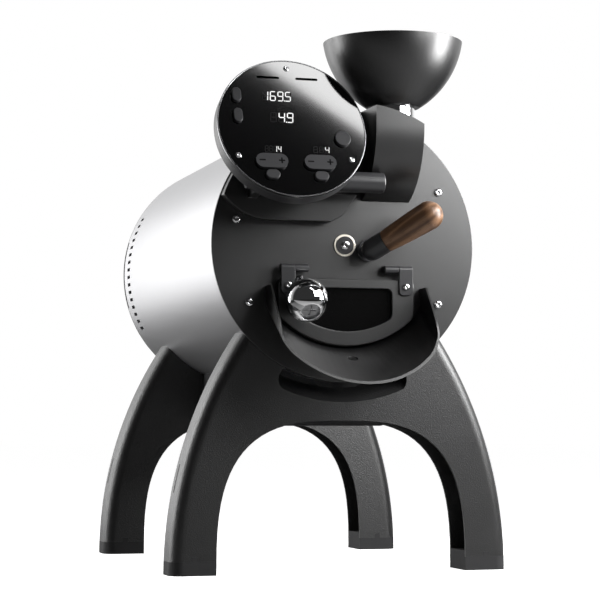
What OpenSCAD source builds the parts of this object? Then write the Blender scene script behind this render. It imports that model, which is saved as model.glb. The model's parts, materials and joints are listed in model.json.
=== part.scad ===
// Home coffee bean roaster: a horizontal drum in an aluminium barrel, carried on two arched stands.
// Front is -Y, up is +Z. The origin lies on the floor, under the middle of the whole roaster.

/* [Barrel] */
// Height of the drum axis above the floor
axis_h = 304; // [285:1:340]
// Outer radius of the barrel
shell_r = 126.2; // [120:0.2:135]
// Wall of the barrel
shell_wall = 2; // [1.5:0.5:4]
// Length of the slotted ring at the rear of the barrel
ring_len = 41; // [36:1:50]
// Number of cooling slots on each side of the ring
slots_per_side = 16; // [8:1:20]
// Angle between two cooling slots
slot_pitch = 3.8; // [3.4:0.1:4.4]
// Length of one cooling slot
slot_len = 14; // [8:1:20]
// Width of one cooling slot
slot_w = 3.6; // [2:0.2:4]
// Width of the long side slit between the ring and the rear cover
slit_w = 4; // [2:0.5:5]
// Half angle of that slit
slit_a = 17; // [10:1:24]
// Thickness of the rear cover
cover_t = 4; // [3:0.5:6]

/* [Faceplate] */
// How far the faceplate stands out round the barrel
plate_lip = 1.3; // [0.6:0.1:6]
// Thickness of the faceplate
plate_t = 3; // [2:0.5:4]
// Distance of the faceplate screws from the faceplate's edge
plate_screw_in = 20.7; // [16:0.1:22]
// Radius of a faceplate screw head
plate_screw_r = 3.9; // [3:0.1:4.5]
// Radius of the round boss at the end of the drum shaft
boss_r = 8.4; // [7.5:0.1:9]

/* [Stand] */
// Width over the feet
stand_span = 327; // [315:1:350]
// Width of one foot
foot_w = 42.6; // [36:0.2:50]
// Depth of one arch, front to back
arch_d = 42.4; // [34:0.2:50]
// Distance of the rear arch in front of the slotted ring
arch_back = 8.9; // [4:0.1:20]
// How far the front arch stands behind the front of the faceplate
arch_set = 4.5; // [4:0.1:12]
// Radius of the long outer curve of a leg
arch_outer_r = 400; // [380:1:420]
// Height of the crown of the arched opening
arch_crown = 141; // [120:1:148]
// Wall of the arches
arch_wall = 2.5; // [2:0.5:4]
// Radius of the rounded outer edges
arch_edge_r = 12; // [6:0.5:15]
// Height of a rubber foot
pad_h = 12.6; // [8:0.2:18]
// Radius of the scooped pocket below the spout, from the drum axis
pocket_r = 146; // [140:0.5:150]
// Half angle of the pocket
pocket_a = 22; // [16:1:26]

/* [Electronics housing] */
// Width of the housing under the barrel
under_w = 116; // [90:1:130]
// Height of its underside above the floor
under_h = 136; // [128:1:150]

/* [Door] */
// Radius of the round lower edge of the door, from the drum axis
door_r = 94; // [90:0.5:96]
// Width of the door
door_w = 132; // [124:1:136]
// Depth of the top edge of the door below the drum axis
door_top = 32; // [30:0.5:36]
// Thickness of the door frame
door_t = 6.5; // [5:0.5:7]
// Radius of the round lower edge of the window
window_r = 80.5; // [74:0.5:82]
// Width of the window
window_w = 88; // [76:1:94]
// Depth of the top edge of the window below the drum axis
window_top = 40.5; // [39:0.5:44]
// Radius of the hinge barrels
hinge_r = 3.8; // [3.4:0.1:4]
// Depth of the hinge line below the drum axis
hinge_z = 22.4; // [21.5:0.1:24]
// Distance of the middle of each hinge from the middle of the door
hinge_x = 50.5; // [48:0.5:52]
// Length of one hinge barrel
knuckle_len = 13.5; // [11:0.5:15]
// Length of a hinge leaf below the hinge line
leaf_len = 24; // [20:0.5:28]
// Radius of the ball knob
knob_r = 20; // [16:0.5:21]
// How far the middle of the knob stands in front of the faceplate
knob_out = 30.5; // [30:0.5:34]
// How far the middle of the knob stands to the left
knob_x = 45.9; // [44:0.1:48]
// Slope of the knob's post, from straight out
knob_slope = 42; // [36:1:48]

/* [Spout] */
// Half width of the spout
spout_half_w = 76; // [72:0.5:80]
// Wall of the spout
spout_wall = 1.8; // [1.2:0.1:2.5]
// Reach of the lip at the lowest point of the spout
spout_reach = 75; // [60:1:80]
// Reach of the side walls at their top
spout_top_reach = 16; // [12:1:24]
// Radius of the lip at the lowest point, from the drum axis
spout_lip_r = 131; // [124:0.5:136]
// Depth of the top of the side walls below the drum axis
spout_top = 39; // [36:0.5:44]

/* [Bean inlet] */
// Width of the inlet hood
hood_w = 46.6; // [45:0.2:52]
// How far the hood stands in front of the faceplate
hood_out = 45; // [45:0.5:50]
// Distance of the middle of the hood from the drum axis
hood_x = 40.2; // [39.5:0.1:44]
// Height of the hood's lower end above the drum axis
hood_low = 42; // [40:0.5:46]
// Wall of the hood
hood_wall = 1.8; // [1.5:0.1:1.9]
// Outer radius of the collar
collar_r = 20.5; // [18:0.1:20.8]
// Height of the top of the collar above the drum axis
collar_top = 127.4; // [126.6:0.2:134]
// Radius of the funnel rim
funnel_r = 64.8; // [58:0.2:70]
// Height of the funnel bowl
funnel_h = 60.6; // [56:0.2:66]
// Wall of the funnel
funnel_wall = 1.6; // [1.2:0.1:2.4]

/* [Control display] */
// Radius of the display
disp_r = 69.6; // [66:0.1:71]
// Thickness of the display
disp_t = 17.5; // [15:0.5:19]
// Backward tilt of the display
disp_tilt = 20; // [14:0.5:24]
// Distance of the middle of the display from the drum axis
disp_x = 64.5; // [63:0.1:67]
// Height of the middle of the display above the pivot, along its face
disp_rise = 38.8; // [36:0.1:42]
// Distance of the pivot behind the back of the display
pivot_back = 10.6; // [10.5:0.1:12]
// Radius of the pivot barrel
pivot_r = 9.5; // [8:0.1:9.6]
// How far the pivot stands in front of the faceplate
pivot_out = 35.5; // [35.5:0.1:38]
// Height of the pivot above the drum axis
pivot_z = 55.2; // [54:0.1:58]
// Where the right end of the pivot barrel lies
pivot_end = 26.4; // [20:0.2:32]
// Thickness of the display glass
glass_t = 3; // [2:0.2:4]
// How far the buttons stand out of the glass
button_out = 2.6; // [1.4:0.1:3.2]
// Running gap around a button
button_gap = 0.3; // [0.2:0.05:0.5]

/* [Sampler] */
// Where the sampler's bush lies to the right of the drum axis
trier_x = 22.7; // [21:0.1:26]
// Depth of the sampler's bush below the drum axis
trier_z = 4.3; // [3.5:0.1:8]
// Radius of the sampler tube
trier_r = 6; // [5.5:0.1:7.5]
// Length of the sampler inside the drum
trier_len = 120; // [80:5:160]
// Radius of the wooden handle at its ferrule
handle_r = 10.4; // [9:0.1:11]
// Radius of the wooden handle at its round end
handle_end_r = 13.4; // [12:0.1:15]
// Length of the wooden handle
handle_len = 61; // [50:1:70]
// Swing of the handle to the right, from straight out
handle_swing = 50.5; // [40:0.5:54]
// Upward slope of the handle
handle_lift = 27.8; // [16:0.1:32]

/* [Drum and drive] */
// Outer radius of the drum
drum_r = 90; // [86:0.5:92]
// Wall of the drum
drum_wall = 1.8; // [1.2:0.1:3]
// Length of the drum
drum_len = 262; // [240:1:270]
// Radius of the drum shaft
shaft_r = 6; // [5:0.1:7]
// Number of mixing vanes
vanes = 4; // [3:1:6]
// Thickness of the bulkhead
bulkhead_t = 4; // [3:0.5:6]
// Pitch radius of the drum pulley
pulley_r = 25; // [20:0.5:26]
// Pitch radius of the motor pulley
motor_pulley_r = 10; // [8:0.5:12]
// Depth of the motor below the drum axis
motor_z = 78; // [74:0.5:82]
// Radius of the drum motor
motor_r = 26; // [22:0.5:28]
// Gap between the exhaust duct and the barrel round it
duct_gap = 6.2; // [5:0.1:10]
// Number of fan blades
fan_blades = 7; // [5:1:9]

/* [Fits] */
// Running gap between a shaft and its bush
run_gap = 0.05; // [0.03:0.01:0.1]
// Gap between parts that move past each other
free_gap = 0.4; // [0.3:0.05:0.6]

/* [Hidden] */
$fn = 72;
over = 1;

plate_r = shell_r + plate_lip;
plate_screw_circle = plate_r - plate_screw_in;

drum_y = plate_t + 12;
bulkhead_y = drum_y + drum_len + 19;
duct_y = bulkhead_y + bulkhead_t;
cup_y = duct_y + 58;
rear_y = cup_y + 63;
ring_y = rear_y - ring_len;
funnel_out = hood_out / 2 + funnel_r;
collector_lid = 14;
back_reach = rear_y + cover_t + collector_lid;
arch_step = ring_y - arch_back - arch_d - arch_set;
face_y = (funnel_out - back_reach) / 2;

arch_c = arch_outer_r - stand_span / 2;
arch_half = stand_span / 2 - foot_w;
arch_power = 3;
leg_slot_h = 88;
tab_w = 5.6;
tab_h = 4.6;
pocket_corner = 12;

under_y0 = arch_set + arch_d;
under_y1 = arch_set + arch_step;
under_z = under_h - axis_h;
under_wall = 2;

hinge_y = -(1.5 + door_t + 2) + hinge_r;
door_y = -(1.5 + door_t);
pin_r = 1.6;
leaf_t = 2;
leaf_gap = 0.15;
leaf_round = 4;
leaf_x = hinge_x + knuckle_len / 2;
door_corner = 6;
door_low_corner = 10;
window_corner = 5;
window_low_corner = 9;
opening_in = 1.5;
knob_drop = door_top + 1.4 + (knob_out - 1.5 - door_t) * tan(knob_slope);
post_r = 3.6;

probe_r = 3;
probe_len = 46;
probe_circle = 73.5;
probe_a = 23;

spout_open_r = door_r + 2;
spout_hole_y = 25;
spout_corner = 14;
spout_hole_r = 5;
// The lip's side view, as shares of its way out and of its way down
SPOUT_LIP = [[0.1, 0.076], [0.345, 0.26], [0.48, 0.36], [0.552, 0.457], [0.593, 0.565], [1, 1.01]];
spout_slope = (spout_lip_r - spout_open_r) / spout_reach;

hood_y = -hood_out / 2;
hood_bend_r = 72;
hood_bend_z = hood_low + sqrt(pow(hood_bend_r, 2) - pow(hood_bend_r - hood_out, 2));
neck_r = collar_r - 1.5 - 0.3;
neck_len = 14;
collar_len = 18;
chute_half = 12;
chute_z = hood_low + hood_wall + chute_half + 3;

bowl_flat = 19.6;
bowl_lift = 12.3;
bowl_r = sqrt(pow(funnel_r + bowl_flat, 2) + pow(bowl_lift, 2));
bowl_foot_r = sqrt(pow(bowl_r, 2) - pow(funnel_h + bowl_lift, 2)) - bowl_flat;

barrel_left = disp_x + 40;
clamp_w = 9;
sleeve_w = 44;
sleeve_r = 13;
bracket_h = 26;
mount_t = 12;
mount_x = -75;
mount_bend = 54;
mount_low = 21;
mount_top = 46.5;
mount_high = 87;
mount_foot_x = -16;
mount_tip_x = 8.5;
arm_low = pivot_z - 14.5;
arm_top = pivot_z + 24;
arm_out = pivot_out + 4;
rim_w = 1.3;
case_wall = 2;
disp_screw_circle = 61;
board_y = 9.4;
board_t = 1.6;
board_r = 56;
board_hole_r = 6;
boss_circle = 50;
digit_block_w = 30;
small_block_w = 18;
switch_h = 1.2;
stem_r = 2;
stem_gap = 1.3;
rock_y = 0.3 + glass_t / 2;
rock_pin_r = 0.75;

ferrule_len = 15;
elbow_y = -15;
bush_r = 9.5;
flange_w = 0.8;

bearing_r = 9;
vane_h = 22;
vane_start = 48;
motor_lug = 12;
lug_h = 28;
lug_w = 6;
shaft_end = bulkhead_y + bulkhead_t + 22;
belt_t = 1.6;
belt_w = 9;
belt_y = bulkhead_y + bulkhead_t + 8;
motor_y = belt_y + belt_w + 7;
motor_len = 52;
duct_low = pulley_r + 5;
duct_r = (shell_r - shell_wall - duct_gap - duct_low) / 2;
duct_wall = 1.5;
fan_z = duct_low + duct_r;
fan_y = duct_y + 16;
fan_hub_r = 13;
fan_hub_len = 10;
fan_pin_r = 2;
blade_w = 11;
blade_t = 1.8;
fan_boss_r = 12;
fan_boss_len = 20;
spoke_t = 4;
cup_r = duct_r - 2;
cup_wall = 1.6;
lid_t = 4;
lid_lip = 5;
grip_t = 10;
grip_len = 48;

vent_half = 36;
vent_w = 4;
vent_low = shell_r - 28.2;

inlet_x = -74;
inlet_z = -12;
switch_x = 74;
switch_y = rear_y + cover_t / 2;
switch_pin_r = 1.4;

power_in = 20;
power_w = 88;
power_t = 1.6;
power_part_r = 7;
power_part_h = 12;
power_part_y = 60;
power_core_y = 120;
power_core_len = 70;
power_core_w = 40;
power_core_h = 7.4;

// ---- Placing helpers -------------------------------------------------------------------------

// Everything is drawn round the drum axis, with y = 0 at the front of the faceplate.
module at_axis() translate([0, face_y, axis_h]) children();

// A front-view outline, drawn in x and z, made solid from y0 backwards.
module slab(y0, depth) translate([0, y0 + depth, 0]) rotate([90, 0, 0]) linear_extrude(depth) children();

// A turned piece: its profile is radius by depth.
module turned(x = 0, z = 0) translate([x, 0, z]) rotate([-90, 0, 0]) rotate_extrude() children();

// A round bar along the depth.
module rod(r, y0, len, x = 0, z = 0) translate([x, y0, z]) rotate([-90, 0, 0]) cylinder(r = r, h = len);

// A round bar across the width.
module cross_rod(r, x0, len, y, z) translate([x0, y, z]) rotate([0, 90, 0]) cylinder(r = r, h = len);

module pipe(r, wall, y0, len, x = 0, z = 0) difference() {
  rod(r, y0, len, x, z);
  rod(r - wall, y0 - over, len + 2 * over, x, z);
}

// A pan-head screw with a cross slot, its head standing in front of y.
module screw_head(r, h, x, y, z) difference() {
  rod(r, y - h, h, x, z);
  for (turn = [0, 90]) translate([x, y - h, z]) rotate([0, turn, 0])
    cube([1.5 * r, h, 0.22 * r], center = true);
}

module block(x0, x1, y0, y1, z0, z1) translate([x0, y0, z0]) cube([x1 - x0, y1 - y0, z1 - z0]);

// ---- Barrel ----------------------------------------------------------------------------------

module body_shell() color("silver") at_axis() difference() {
  pipe(shell_r, shell_wall, plate_t, ring_y - plate_t);
  block(-30, 30, under_y0 + 40, under_y1 - 40, -shell_r - over, -shell_r / 2);
}

module rear_ring() color("silver") at_axis() difference() {
  pipe(shell_r, shell_wall, ring_y, ring_len);
  for (side = [0, 180], i = [0 : slots_per_side - 1])
    rotate([0, side + (i - (slots_per_side - 1) / 2) * slot_pitch, 0])
      block(shell_r - 2 * shell_wall, shell_r + over, ring_y + 7, ring_y + 7 + slot_len,
        -slot_w / 2, slot_w / 2);
  for (side = [0, 180]) rotate([0, side, 0]) slab(rear_y - slit_w, slit_w + over) intersection() {
    difference() {
      circle(shell_r + over);
      circle(shell_r - 2 * shell_wall);
    }
    polygon([[0, 0], [2 * shell_r, -2 * shell_r * tan(slit_a)], [2 * shell_r, 2 * shell_r * tan(slit_a)]]);
  }
}

module rear_cover() color("dimgray") at_axis() {
  rear_disc();
  // the pin that the power switch rocks on
  cross_rod(switch_pin_r, switch_x - 9, 18, switch_y, inlet_z);
}

module rear_disc() difference() {
  union() {
    turned() polygon([[0, rear_y], [shell_r, rear_y], [shell_r, rear_y + cover_t - 1.5],
      [shell_r - 1.5, rear_y + cover_t], [0, rear_y + cover_t]]);
    pipe(shell_r - shell_wall, 3, rear_y - 3, 3 + over);
  }
  rod(cup_r + free_gap, rear_y - 4, cover_t + 6, 0, fan_z);
  for (row = [0 : 6]) block(-vent_half, vent_half, rear_y - over, rear_y + cover_t + over,
    -vent_low + 2 * row * vent_w, -vent_low + (2 * row + 1) * vent_w);
  inlet_outline(free_gap);
  switch_outline(free_gap);
}

// ---- Faceplate -------------------------------------------------------------------------------

// The right half of an outline between two upright sides and a round lower edge of radius r, from its
// lower corner to its lowest point. The corner's own round runs on into the lower edge.
function low_side(r, half, corner) = let (
    x = half - corner,
    z = -sqrt(pow(r - corner, 2) - pow(x, 2)),
    turn = atan2(z, x))
  concat(
    [for (i = [0 : 6]) let (a = turn * i / 6) [x + corner * cos(a), z + corner * sin(a)]],
    [for (i = [1 : 16]) let (a = turn + (-90 - turn) * i / 16) [r * cos(a), r * sin(a)]]);

function both_sides(side) = concat(side, [for (i = [len(side) - 1 : -1 : 0]) [-side[i][0], side[i][1]]]);

// The form of the door, which its window shares.
module door_outline(r, w, top, corner, low_corner) polygon(both_sides(concat(
  [for (i = [0 : 5]) let (a = 90 - 18 * i)
    [w / 2 - corner + corner * cos(a), -top - corner + corner * sin(a)]],
  low_side(r, w / 2, low_corner))));

module window_outline(grow) door_outline(window_r + grow, window_w + 2 * grow, window_top - grow,
  window_corner + grow, window_low_corner + grow);

// The way that the beans take out of the drum, behind the door's window: two upright sides and a lower
// edge of three flats.
module beans_way() polygon(both_sides([
  [window_w / 2 - opening_in, -window_top - opening_in],
  [window_w / 2 - opening_in, -window_r + 16],
  [window_w / 4 + opening_in, -window_r + 6]]));

module faceplate() color("#1c1c1e") at_axis() difference() {
  rod(plate_r, 0, plate_t);
  slab(-over, plate_t + 2 * over) beans_way();
  rod(bearing_r, -over, plate_t + 2 * over);
  rod(bush_r + run_gap, -over, plate_t + 2 * over, trier_x, -trier_z);
  block(hood_x - chute_half, hood_x + chute_half, -over, plate_t + over,
    chute_z - chute_half, chute_z + chute_half);
}

module faceplate_screws() color("silver") at_axis()
  for (a = [29.5, -30.2, 90, 118, 168.2, 210.6])
    rotate([0, -a, 0]) screw_head(plate_screw_r, 2.4, plate_screw_circle, 0, 0);

module shaft_bush() color("#b08d57") at_axis() difference() {
  union() {
    rod(bearing_r, 0, plate_t + 6);
    rod(bearing_r + 1.5, -1.2, 1.2);
  }
  rod(shaft_r + run_gap, -over - 1.2, plate_t + 8 + 2 * over);
}

// A temperature probe that reaches into the drum, carried by a tab behind the lower edge of the opening.
module bean_probe() color("silver") at_axis() rotate([0, 90 + probe_a, 0]) {
  rod(probe_r, -1, probe_len, probe_circle, 0);
  block(probe_circle, probe_circle + 14, plate_t, plate_t + 2, -6, 6);
}

// ---- Stand -----------------------------------------------------------------------------------

// One of the two great discs whose overlap gives the legs their long curve and rounded edges.
module arch_disc(y0, inset) {
  r = arch_outer_r - inset;
  e = arch_edge_r - inset;
  d = arch_d - 2 * inset;
  translate([0, y0 + inset, -axis_h]) rotate([-90, 0, 0]) rotate_extrude() union() {
    square([r - e, d]);
    translate([0, e]) square([r, d - 2 * e]);
    for (y = [e, d - e]) translate([r - e, y]) circle(e);
  }
}

// The arch as a solid, taken in by inset all round and reaching down to height low.
module arch_solid(y0, inset, low) difference() {
  intersection() {
    translate([-arch_c, 0, 0]) arch_disc(y0, inset);
    translate([arch_c, 0, 0]) arch_disc(y0, inset);
    block(-stand_span, stand_span, y0, y0 + arch_d, low - axis_h, 0);
  }
  rod(shell_r + inset, y0 - over, arch_d + 2 * over);
}

// The opening under the crown: a squarish round arch.
module arch_opening(grow = 0) {
  half = arch_half + grow;
  crown = arch_crown + grow;
  steps = 40;
  translate([0, -axis_h]) polygon(concat(
    [[half, -over]],
    [for (i = [0 : steps]) let (a = 180 * i / steps)
      [half * sign(cos(a)) * pow(abs(cos(a)), 2 / arch_power), crown * pow(sin(a), 2 / arch_power)]],
    [[-half, -over]]));
}

module foot_tabs(y0, grow) for (side = [-1, 1])
  translate([side * (stand_span / 2 - 0.52 * foot_w), y0, pad_h - axis_h])
    block(-tab_w / 2 - grow, tab_w / 2 + grow, grow > 0 ? -over : 0, arch_wall, 0, tab_h + grow);

module arch(y0) difference() {
  arch_solid(y0, 0, pad_h);
  arch_solid(y0, arch_wall, 0);
  slab(y0 - over, arch_d + 2 * over) arch_opening();
  for (side = [0, 1]) mirror([side, 0, 0]) block(stand_span / 2 - 16, stand_span / 2 + over,
    y0 + arch_d / 2 - 1.2, y0 + arch_d / 2 + 1.2, leg_slot_h - 13 - axis_h, leg_slot_h + 13 - axis_h);
  foot_tabs(y0, 0.1);
}

// The form of the scooped pocket: it follows the barrel and has a rounded corner at each end.
module pocket_sector(r0, r1, a, corner) difference() {
  polygon(both_sides(concat(
    [[r0 * cos(a - 90) / 2, r0 * sin(a - 90) / 2]],
    [for (i = [0 : 6]) let (t = a - 15 * i)
      [(r1 - corner) * sin(a) + corner * cos(t), -(r1 - corner) * cos(a) + corner * sin(t)]],
    [for (i = [1 : 12]) let (t = a * (1 - i / 12)) [r1 * sin(t), -r1 * cos(t)]])));
  circle(r0);
}

module front_arch() color("#1b1b1d") at_axis() {
  difference() {
    union() {
      arch(arch_set);
      slab(arch_set, 26) pocket_sector(shell_r, pocket_r + 3, pocket_a, pocket_corner + 3);
    }
    intersection() {
      turned() polygon([[shell_r - over, arch_set - over], [pocket_r + 1, arch_set - over],
        [pocket_r, arch_set], [shell_r + 6, arch_set + 20], [shell_r - over, arch_set + 23]]);
      slab(arch_set - over, 40) pocket_sector(shell_r - 2 * over, pocket_r + 1, pocket_a, pocket_corner);
    }
  }
}

module rear_arch() color("#1b1b1d") at_axis() arch(arch_set + arch_step);

module foot(y0, side) color("#2b2b2d") at_axis() {
  lift = arch_wall + 0.1;
  difference() {
    union() {
      intersection() {
        arch_solid(y0, 0, 0);
        block(-stand_span, stand_span, y0 - over, y0 + arch_d + over, -axis_h, pad_h - axis_h);
      }
      intersection() {
        arch_solid(y0, lift, pad_h - over);
        block(-stand_span, stand_span, y0, y0 + arch_d, -axis_h, pad_h + 6 - axis_h);
      }
      foot_tabs(y0, 0);
    }
    slab(y0 - over, arch_d + 2 * over) arch_opening();
    block(side > 0 ? -stand_span : -over, side > 0 ? over : stand_span, y0 - 2 * over, y0 + arch_d + 2 * over,
      -axis_h - over, 0);
  }
}

module foot_front_left() foot(arch_set, -1);
module foot_front_right() foot(arch_set, 1);
module foot_rear_left() foot(arch_set + arch_step, -1);
module foot_rear_right() foot(arch_set + arch_step, 1);

// ---- Electronics housing under the barrel ----------------------------------------------------

module under_outline(inset) difference() {
  r = 8 - inset;
  w = under_w / 2 - inset;
  union() {
    translate([-w, under_z + r + inset]) square([2 * w, -under_z - r - inset]);
    translate([-w + r, under_z + inset]) square([2 * (w - r), 2 * r]);
    for (side = [-1, 1]) translate([side * (w - r), under_z + inset + r]) circle(r);
  }
  circle(shell_r);
}

module underbody_housing() color("#3a3a3c") at_axis() difference() {
  slab(under_y0, under_y1 - under_y0) under_outline(0);
  slab(under_y0 + under_wall, under_y1 - under_y0 - 2 * under_wall) under_outline(under_wall);
  block(-under_w / 2 + 10, under_w / 2 - 10, under_y0 + 10, under_y1 - 10,
    under_z - over, under_z + under_wall + over);
}

module bottom_cover() color("#2a2a2c") at_axis() {
  difference() {
    block(-under_w / 2 + 10.2, under_w / 2 - 10.2, under_y0 + 10.2, under_y1 - 10.2,
      under_z, under_z + under_wall);
    for (i = [0 : 9]) translate([0, under_y0 + 60 + i * 16, under_z])
      block(-28, 28, 0, 5, -over, under_wall + over);
  }
  for (x = [-38, 38], y = [under_y0 + 30, under_y1 - 30])
    translate([x, y, under_z + under_wall]) cylinder(r = 3, h = 7);
}

module power_board() color("darkgreen") at_axis() {
  z = under_z + under_wall + 7;
  top = z + power_t;
  block(-power_w / 2, power_w / 2, under_y0 + power_in, under_y1 - power_in, z, top);
  for (i = [-1.5 : 1.5]) translate([i * 2.6 * power_part_r, under_y0 + power_part_y, top])
    cylinder(r = power_part_r, h = power_part_h);
  block(-power_core_w / 2, power_core_w / 2, under_y0 + power_core_y,
    under_y0 + power_core_y + power_core_len, top, top + power_core_h);
}

// ---- Spout -----------------------------------------------------------------------------------

// One section of the spout at a distance out from the faceplate, taken in by inset.
module spout_section(out, inset) slab(-out, 0.02) polygon(both_sides(concat(
  [[spout_half_w - inset, 0]],
  low_side(spout_open_r + spout_slope * out - inset, spout_half_w - inset, spout_corner - inset))));

// The spout as a solid: it widens outwards like a cone between its two side walls.
module spout_solid(inset) hull() {
  spout_section(inset > 0 ? -over : 0.02, inset);
  spout_section(spout_reach + 10, inset);
}

module discharge_spout() color("#202022") at_axis() difference() {
  spout_solid(0);
  spout_solid(spout_wall);
  // the lip leans forward from the top of the side walls and sweeps out to the lowest point
  rotate([90, 0, 90]) translate([0, 0, -spout_half_w - over]) linear_extrude(2 * spout_half_w + 2 * over)
    polygon(concat(
      [[0, over], [0, -spout_top], [-spout_top_reach, -spout_top]],
      [for (p = SPOUT_LIP) [-spout_top_reach - p[0] * (spout_reach - spout_top_reach),
        -spout_top - p[1] * (spout_lip_r - spout_top)]],
      [[-spout_reach - 20, -spout_lip_r - 20], [-spout_reach - 20, over]]));
  translate([0, -spout_hole_y, -spout_open_r - spout_hole_y * spout_slope]) rotate([atan(spout_slope), 0, 0])
    cylinder(r = spout_hole_r, h = 20, center = true);
}

// ---- Door ------------------------------------------------------------------------------------

// The fixed half of each hinge: a barrel on the faceplate and the pin that runs on into the leaf.
module hinge_knuckles() color("#3c3c40") at_axis() for (side = [-1, 1]) {
  x0 = side > 0 ? hinge_x - knuckle_len : -hinge_x;
  cross_rod(hinge_r, x0, knuckle_len - leaf_gap, hinge_y, -hinge_z);
  block(x0, x0 + knuckle_len - leaf_gap, hinge_y, 0, -hinge_z - 2.4, -hinge_z + hinge_r);
  cross_rod(pin_r, side * hinge_x - knuckle_len + 0.5, 2 * knuckle_len - 1, hinge_y, -hinge_z);
}

module hinge_leaves() color("#3c3c40") at_axis() for (side = [-1, 1]) difference() {
  x0 = side > 0 ? hinge_x : -hinge_x - knuckle_len;
  w = knuckle_len - leaf_gap;
  union() {
    cross_rod(hinge_r, x0 + leaf_gap, w, hinge_y, -hinge_z);
    slab(door_y - leaf_t, leaf_t) translate([x0 + leaf_gap, -hinge_z]) union() {
      translate([0, -leaf_len + leaf_round]) square([w, leaf_len - leaf_round]);
      translate([leaf_round, -leaf_len]) square([w - 2 * leaf_round, 2 * leaf_round]);
      for (x = [leaf_round, w - leaf_round]) translate([x, -leaf_len + leaf_round]) circle(leaf_round);
    }
  }
  cross_rod(pin_r + run_gap, x0 - over, knuckle_len + 2 * over, hinge_y, -hinge_z);
}

module door_screws() color("silver") at_axis() for (side = [-1, 1])
  screw_head(3.2, 1.8, side * leaf_x, door_y - leaf_t, -hinge_z - leaf_len + 8);

module door_frame() color("#29292b") at_axis() difference() {
  slab(door_y, door_t) door_outline(door_r, door_w, door_top, door_corner, door_low_corner);
  slab(door_y - over, door_t + 2 * over) window_outline(0);
  slab(door_y + 3, door_t) window_outline(4);
}

module door_glass() color("#080808") at_axis()
  slab(door_y + 3, 3) window_outline(3.9);

// The knob's own line: from the frame, forwards and down.
module at_knob() translate([-knob_x, -knob_out, -knob_drop]) rotate([90 + knob_slope, 0, 0]) children();

module knob_post() color("silver") at_axis() difference() {
  at_knob() translate([0, 0, -knob_out - 4]) cylinder(r = post_r, h = knob_out + 4 - knob_r + 2);
  block(-knob_x - 20, -knob_x + 20, door_y, 40, -100, 40);
  at_knob() sphere(knob_r);
}

module ball_knob() color("lightgray") at_axis() at_knob() difference() {
  sphere(knob_r);
  translate([0, 0, knob_r * 0.62]) cylinder(r = knob_r * 0.46, h = knob_r);
}

module knob_screw() color("gray") at_axis() at_knob() difference() {
  translate([0, 0, knob_r * 0.62]) cylinder(r = knob_r * 0.4, h = 2.6);
  for (turn = [0, 90]) rotate(turn) translate([0, 0, knob_r * 0.62 + 2.6])
    cube([knob_r * 0.56, 1.8, 2.4], center = true);
}

// ---- Bean inlet ------------------------------------------------------------------------------

// Side view of the hood: straight down, then a long curve back to the faceplate.
module hood_profile(inset) {
  out = hood_out - inset;
  back = inset > 0 ? over : 0;
  bend_r = hood_bend_r - inset;
  bend_a = acos((hood_bend_r - hood_out) / bend_r);
  rotate([90, 0, 90]) translate([0, 0, hood_x - hood_w / 2 + inset]) linear_extrude(hood_w - 2 * inset)
    polygon(concat(
      [[back, plate_r], [-out, plate_r]],
      [for (i = [0 : 12]) let (a = i / 12 * bend_a)
        [-hood_out + hood_bend_r - bend_r * cos(a), hood_bend_z - bend_r * sin(a)]],
      [[back, hood_bend_z - bend_r * sin(bend_a)]]));
}

module inlet_hood() color("#1d1d1f") at_axis() difference() {
  intersection() {
    hood_profile(0);
    rod(plate_r, -hood_out - over, hood_out + over);
  }
  intersection() {
    hood_profile(hood_wall);
    rod(plate_r - 8, -hood_out - over, hood_out + 2 * over);
  }
  translate([hood_x, hood_y, collar_top - collar_len]) cylinder(r = collar_r, h = 60);
}

module inlet_collar() color("gainsboro") at_axis()
  translate([hood_x, hood_y, collar_top - collar_len]) difference() {
    cylinder(r = collar_r, h = collar_len);
    translate([0, 0, -over]) cylinder(r = collar_r - 1.5, h = collar_len + 2 * over);
  }

// The bowl follows one arc from its rim to its neck.
module funnel() color("#1a1a1c") at_axis() translate([hood_x, hood_y, collar_top + funnel_h]) {
  rotate_extrude() intersection() {
    difference() {
      translate([-bowl_flat, bowl_lift]) circle(bowl_r);
      translate([-bowl_flat, bowl_lift]) circle(bowl_r - funnel_wall);
    }
    translate([neck_r - funnel_wall, -funnel_h]) square([funnel_r, funnel_h]);
  }
  translate([0, 0, -funnel_h - neck_len]) difference() {
    union() {
      cylinder(r = neck_r, h = neck_len + 3);
      translate([0, 0, neck_len]) cylinder(r = bowl_foot_r, h = 2);
    }
    translate([0, 0, -over]) cylinder(r = neck_r - funnel_wall, h = neck_len + 3 + 2 * over);
  }
}

// ---- Control display -------------------------------------------------------------------------

// Front view of the backing plate: it follows the faceplate's edge and a round of its own on the left,
// and ends in a slant on the right.
module mount_outline() intersection() {
  circle(plate_r - 1);
  union() {
    translate([mount_x, mount_low + mount_bend]) circle(mount_bend);
    polygon([[mount_x, mount_low], [mount_foot_x, mount_low], [mount_foot_x + 10, mount_low + 5],
      [mount_tip_x, mount_top], [mount_x, mount_top]]);
  }
  translate([-plate_r, 0]) square([2 * plate_r, mount_high]);
}

module display_mount() color("#1a1a1c") at_axis() difference() {
  union() {
    slab(-mount_t, mount_t) mount_outline();
    // two arms that hold the pivot barrel from behind
    for (x = [sleeve_w / 2 + 1, -sleeve_w / 2 - 1 - clamp_w]) translate([x - disp_x, 0, 0])
      rotate([90, 0, 90]) linear_extrude(clamp_w) polygon([[-over, arm_low], [-mount_t, arm_low],
        [-arm_out, pivot_z - pivot_r - 3], [-arm_out, pivot_z + 3], [-mount_t, arm_top], [-over, arm_top]]);
  }
  cross_rod(pivot_r, -barrel_left - 20, 200, -pivot_out, pivot_z);
}

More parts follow.
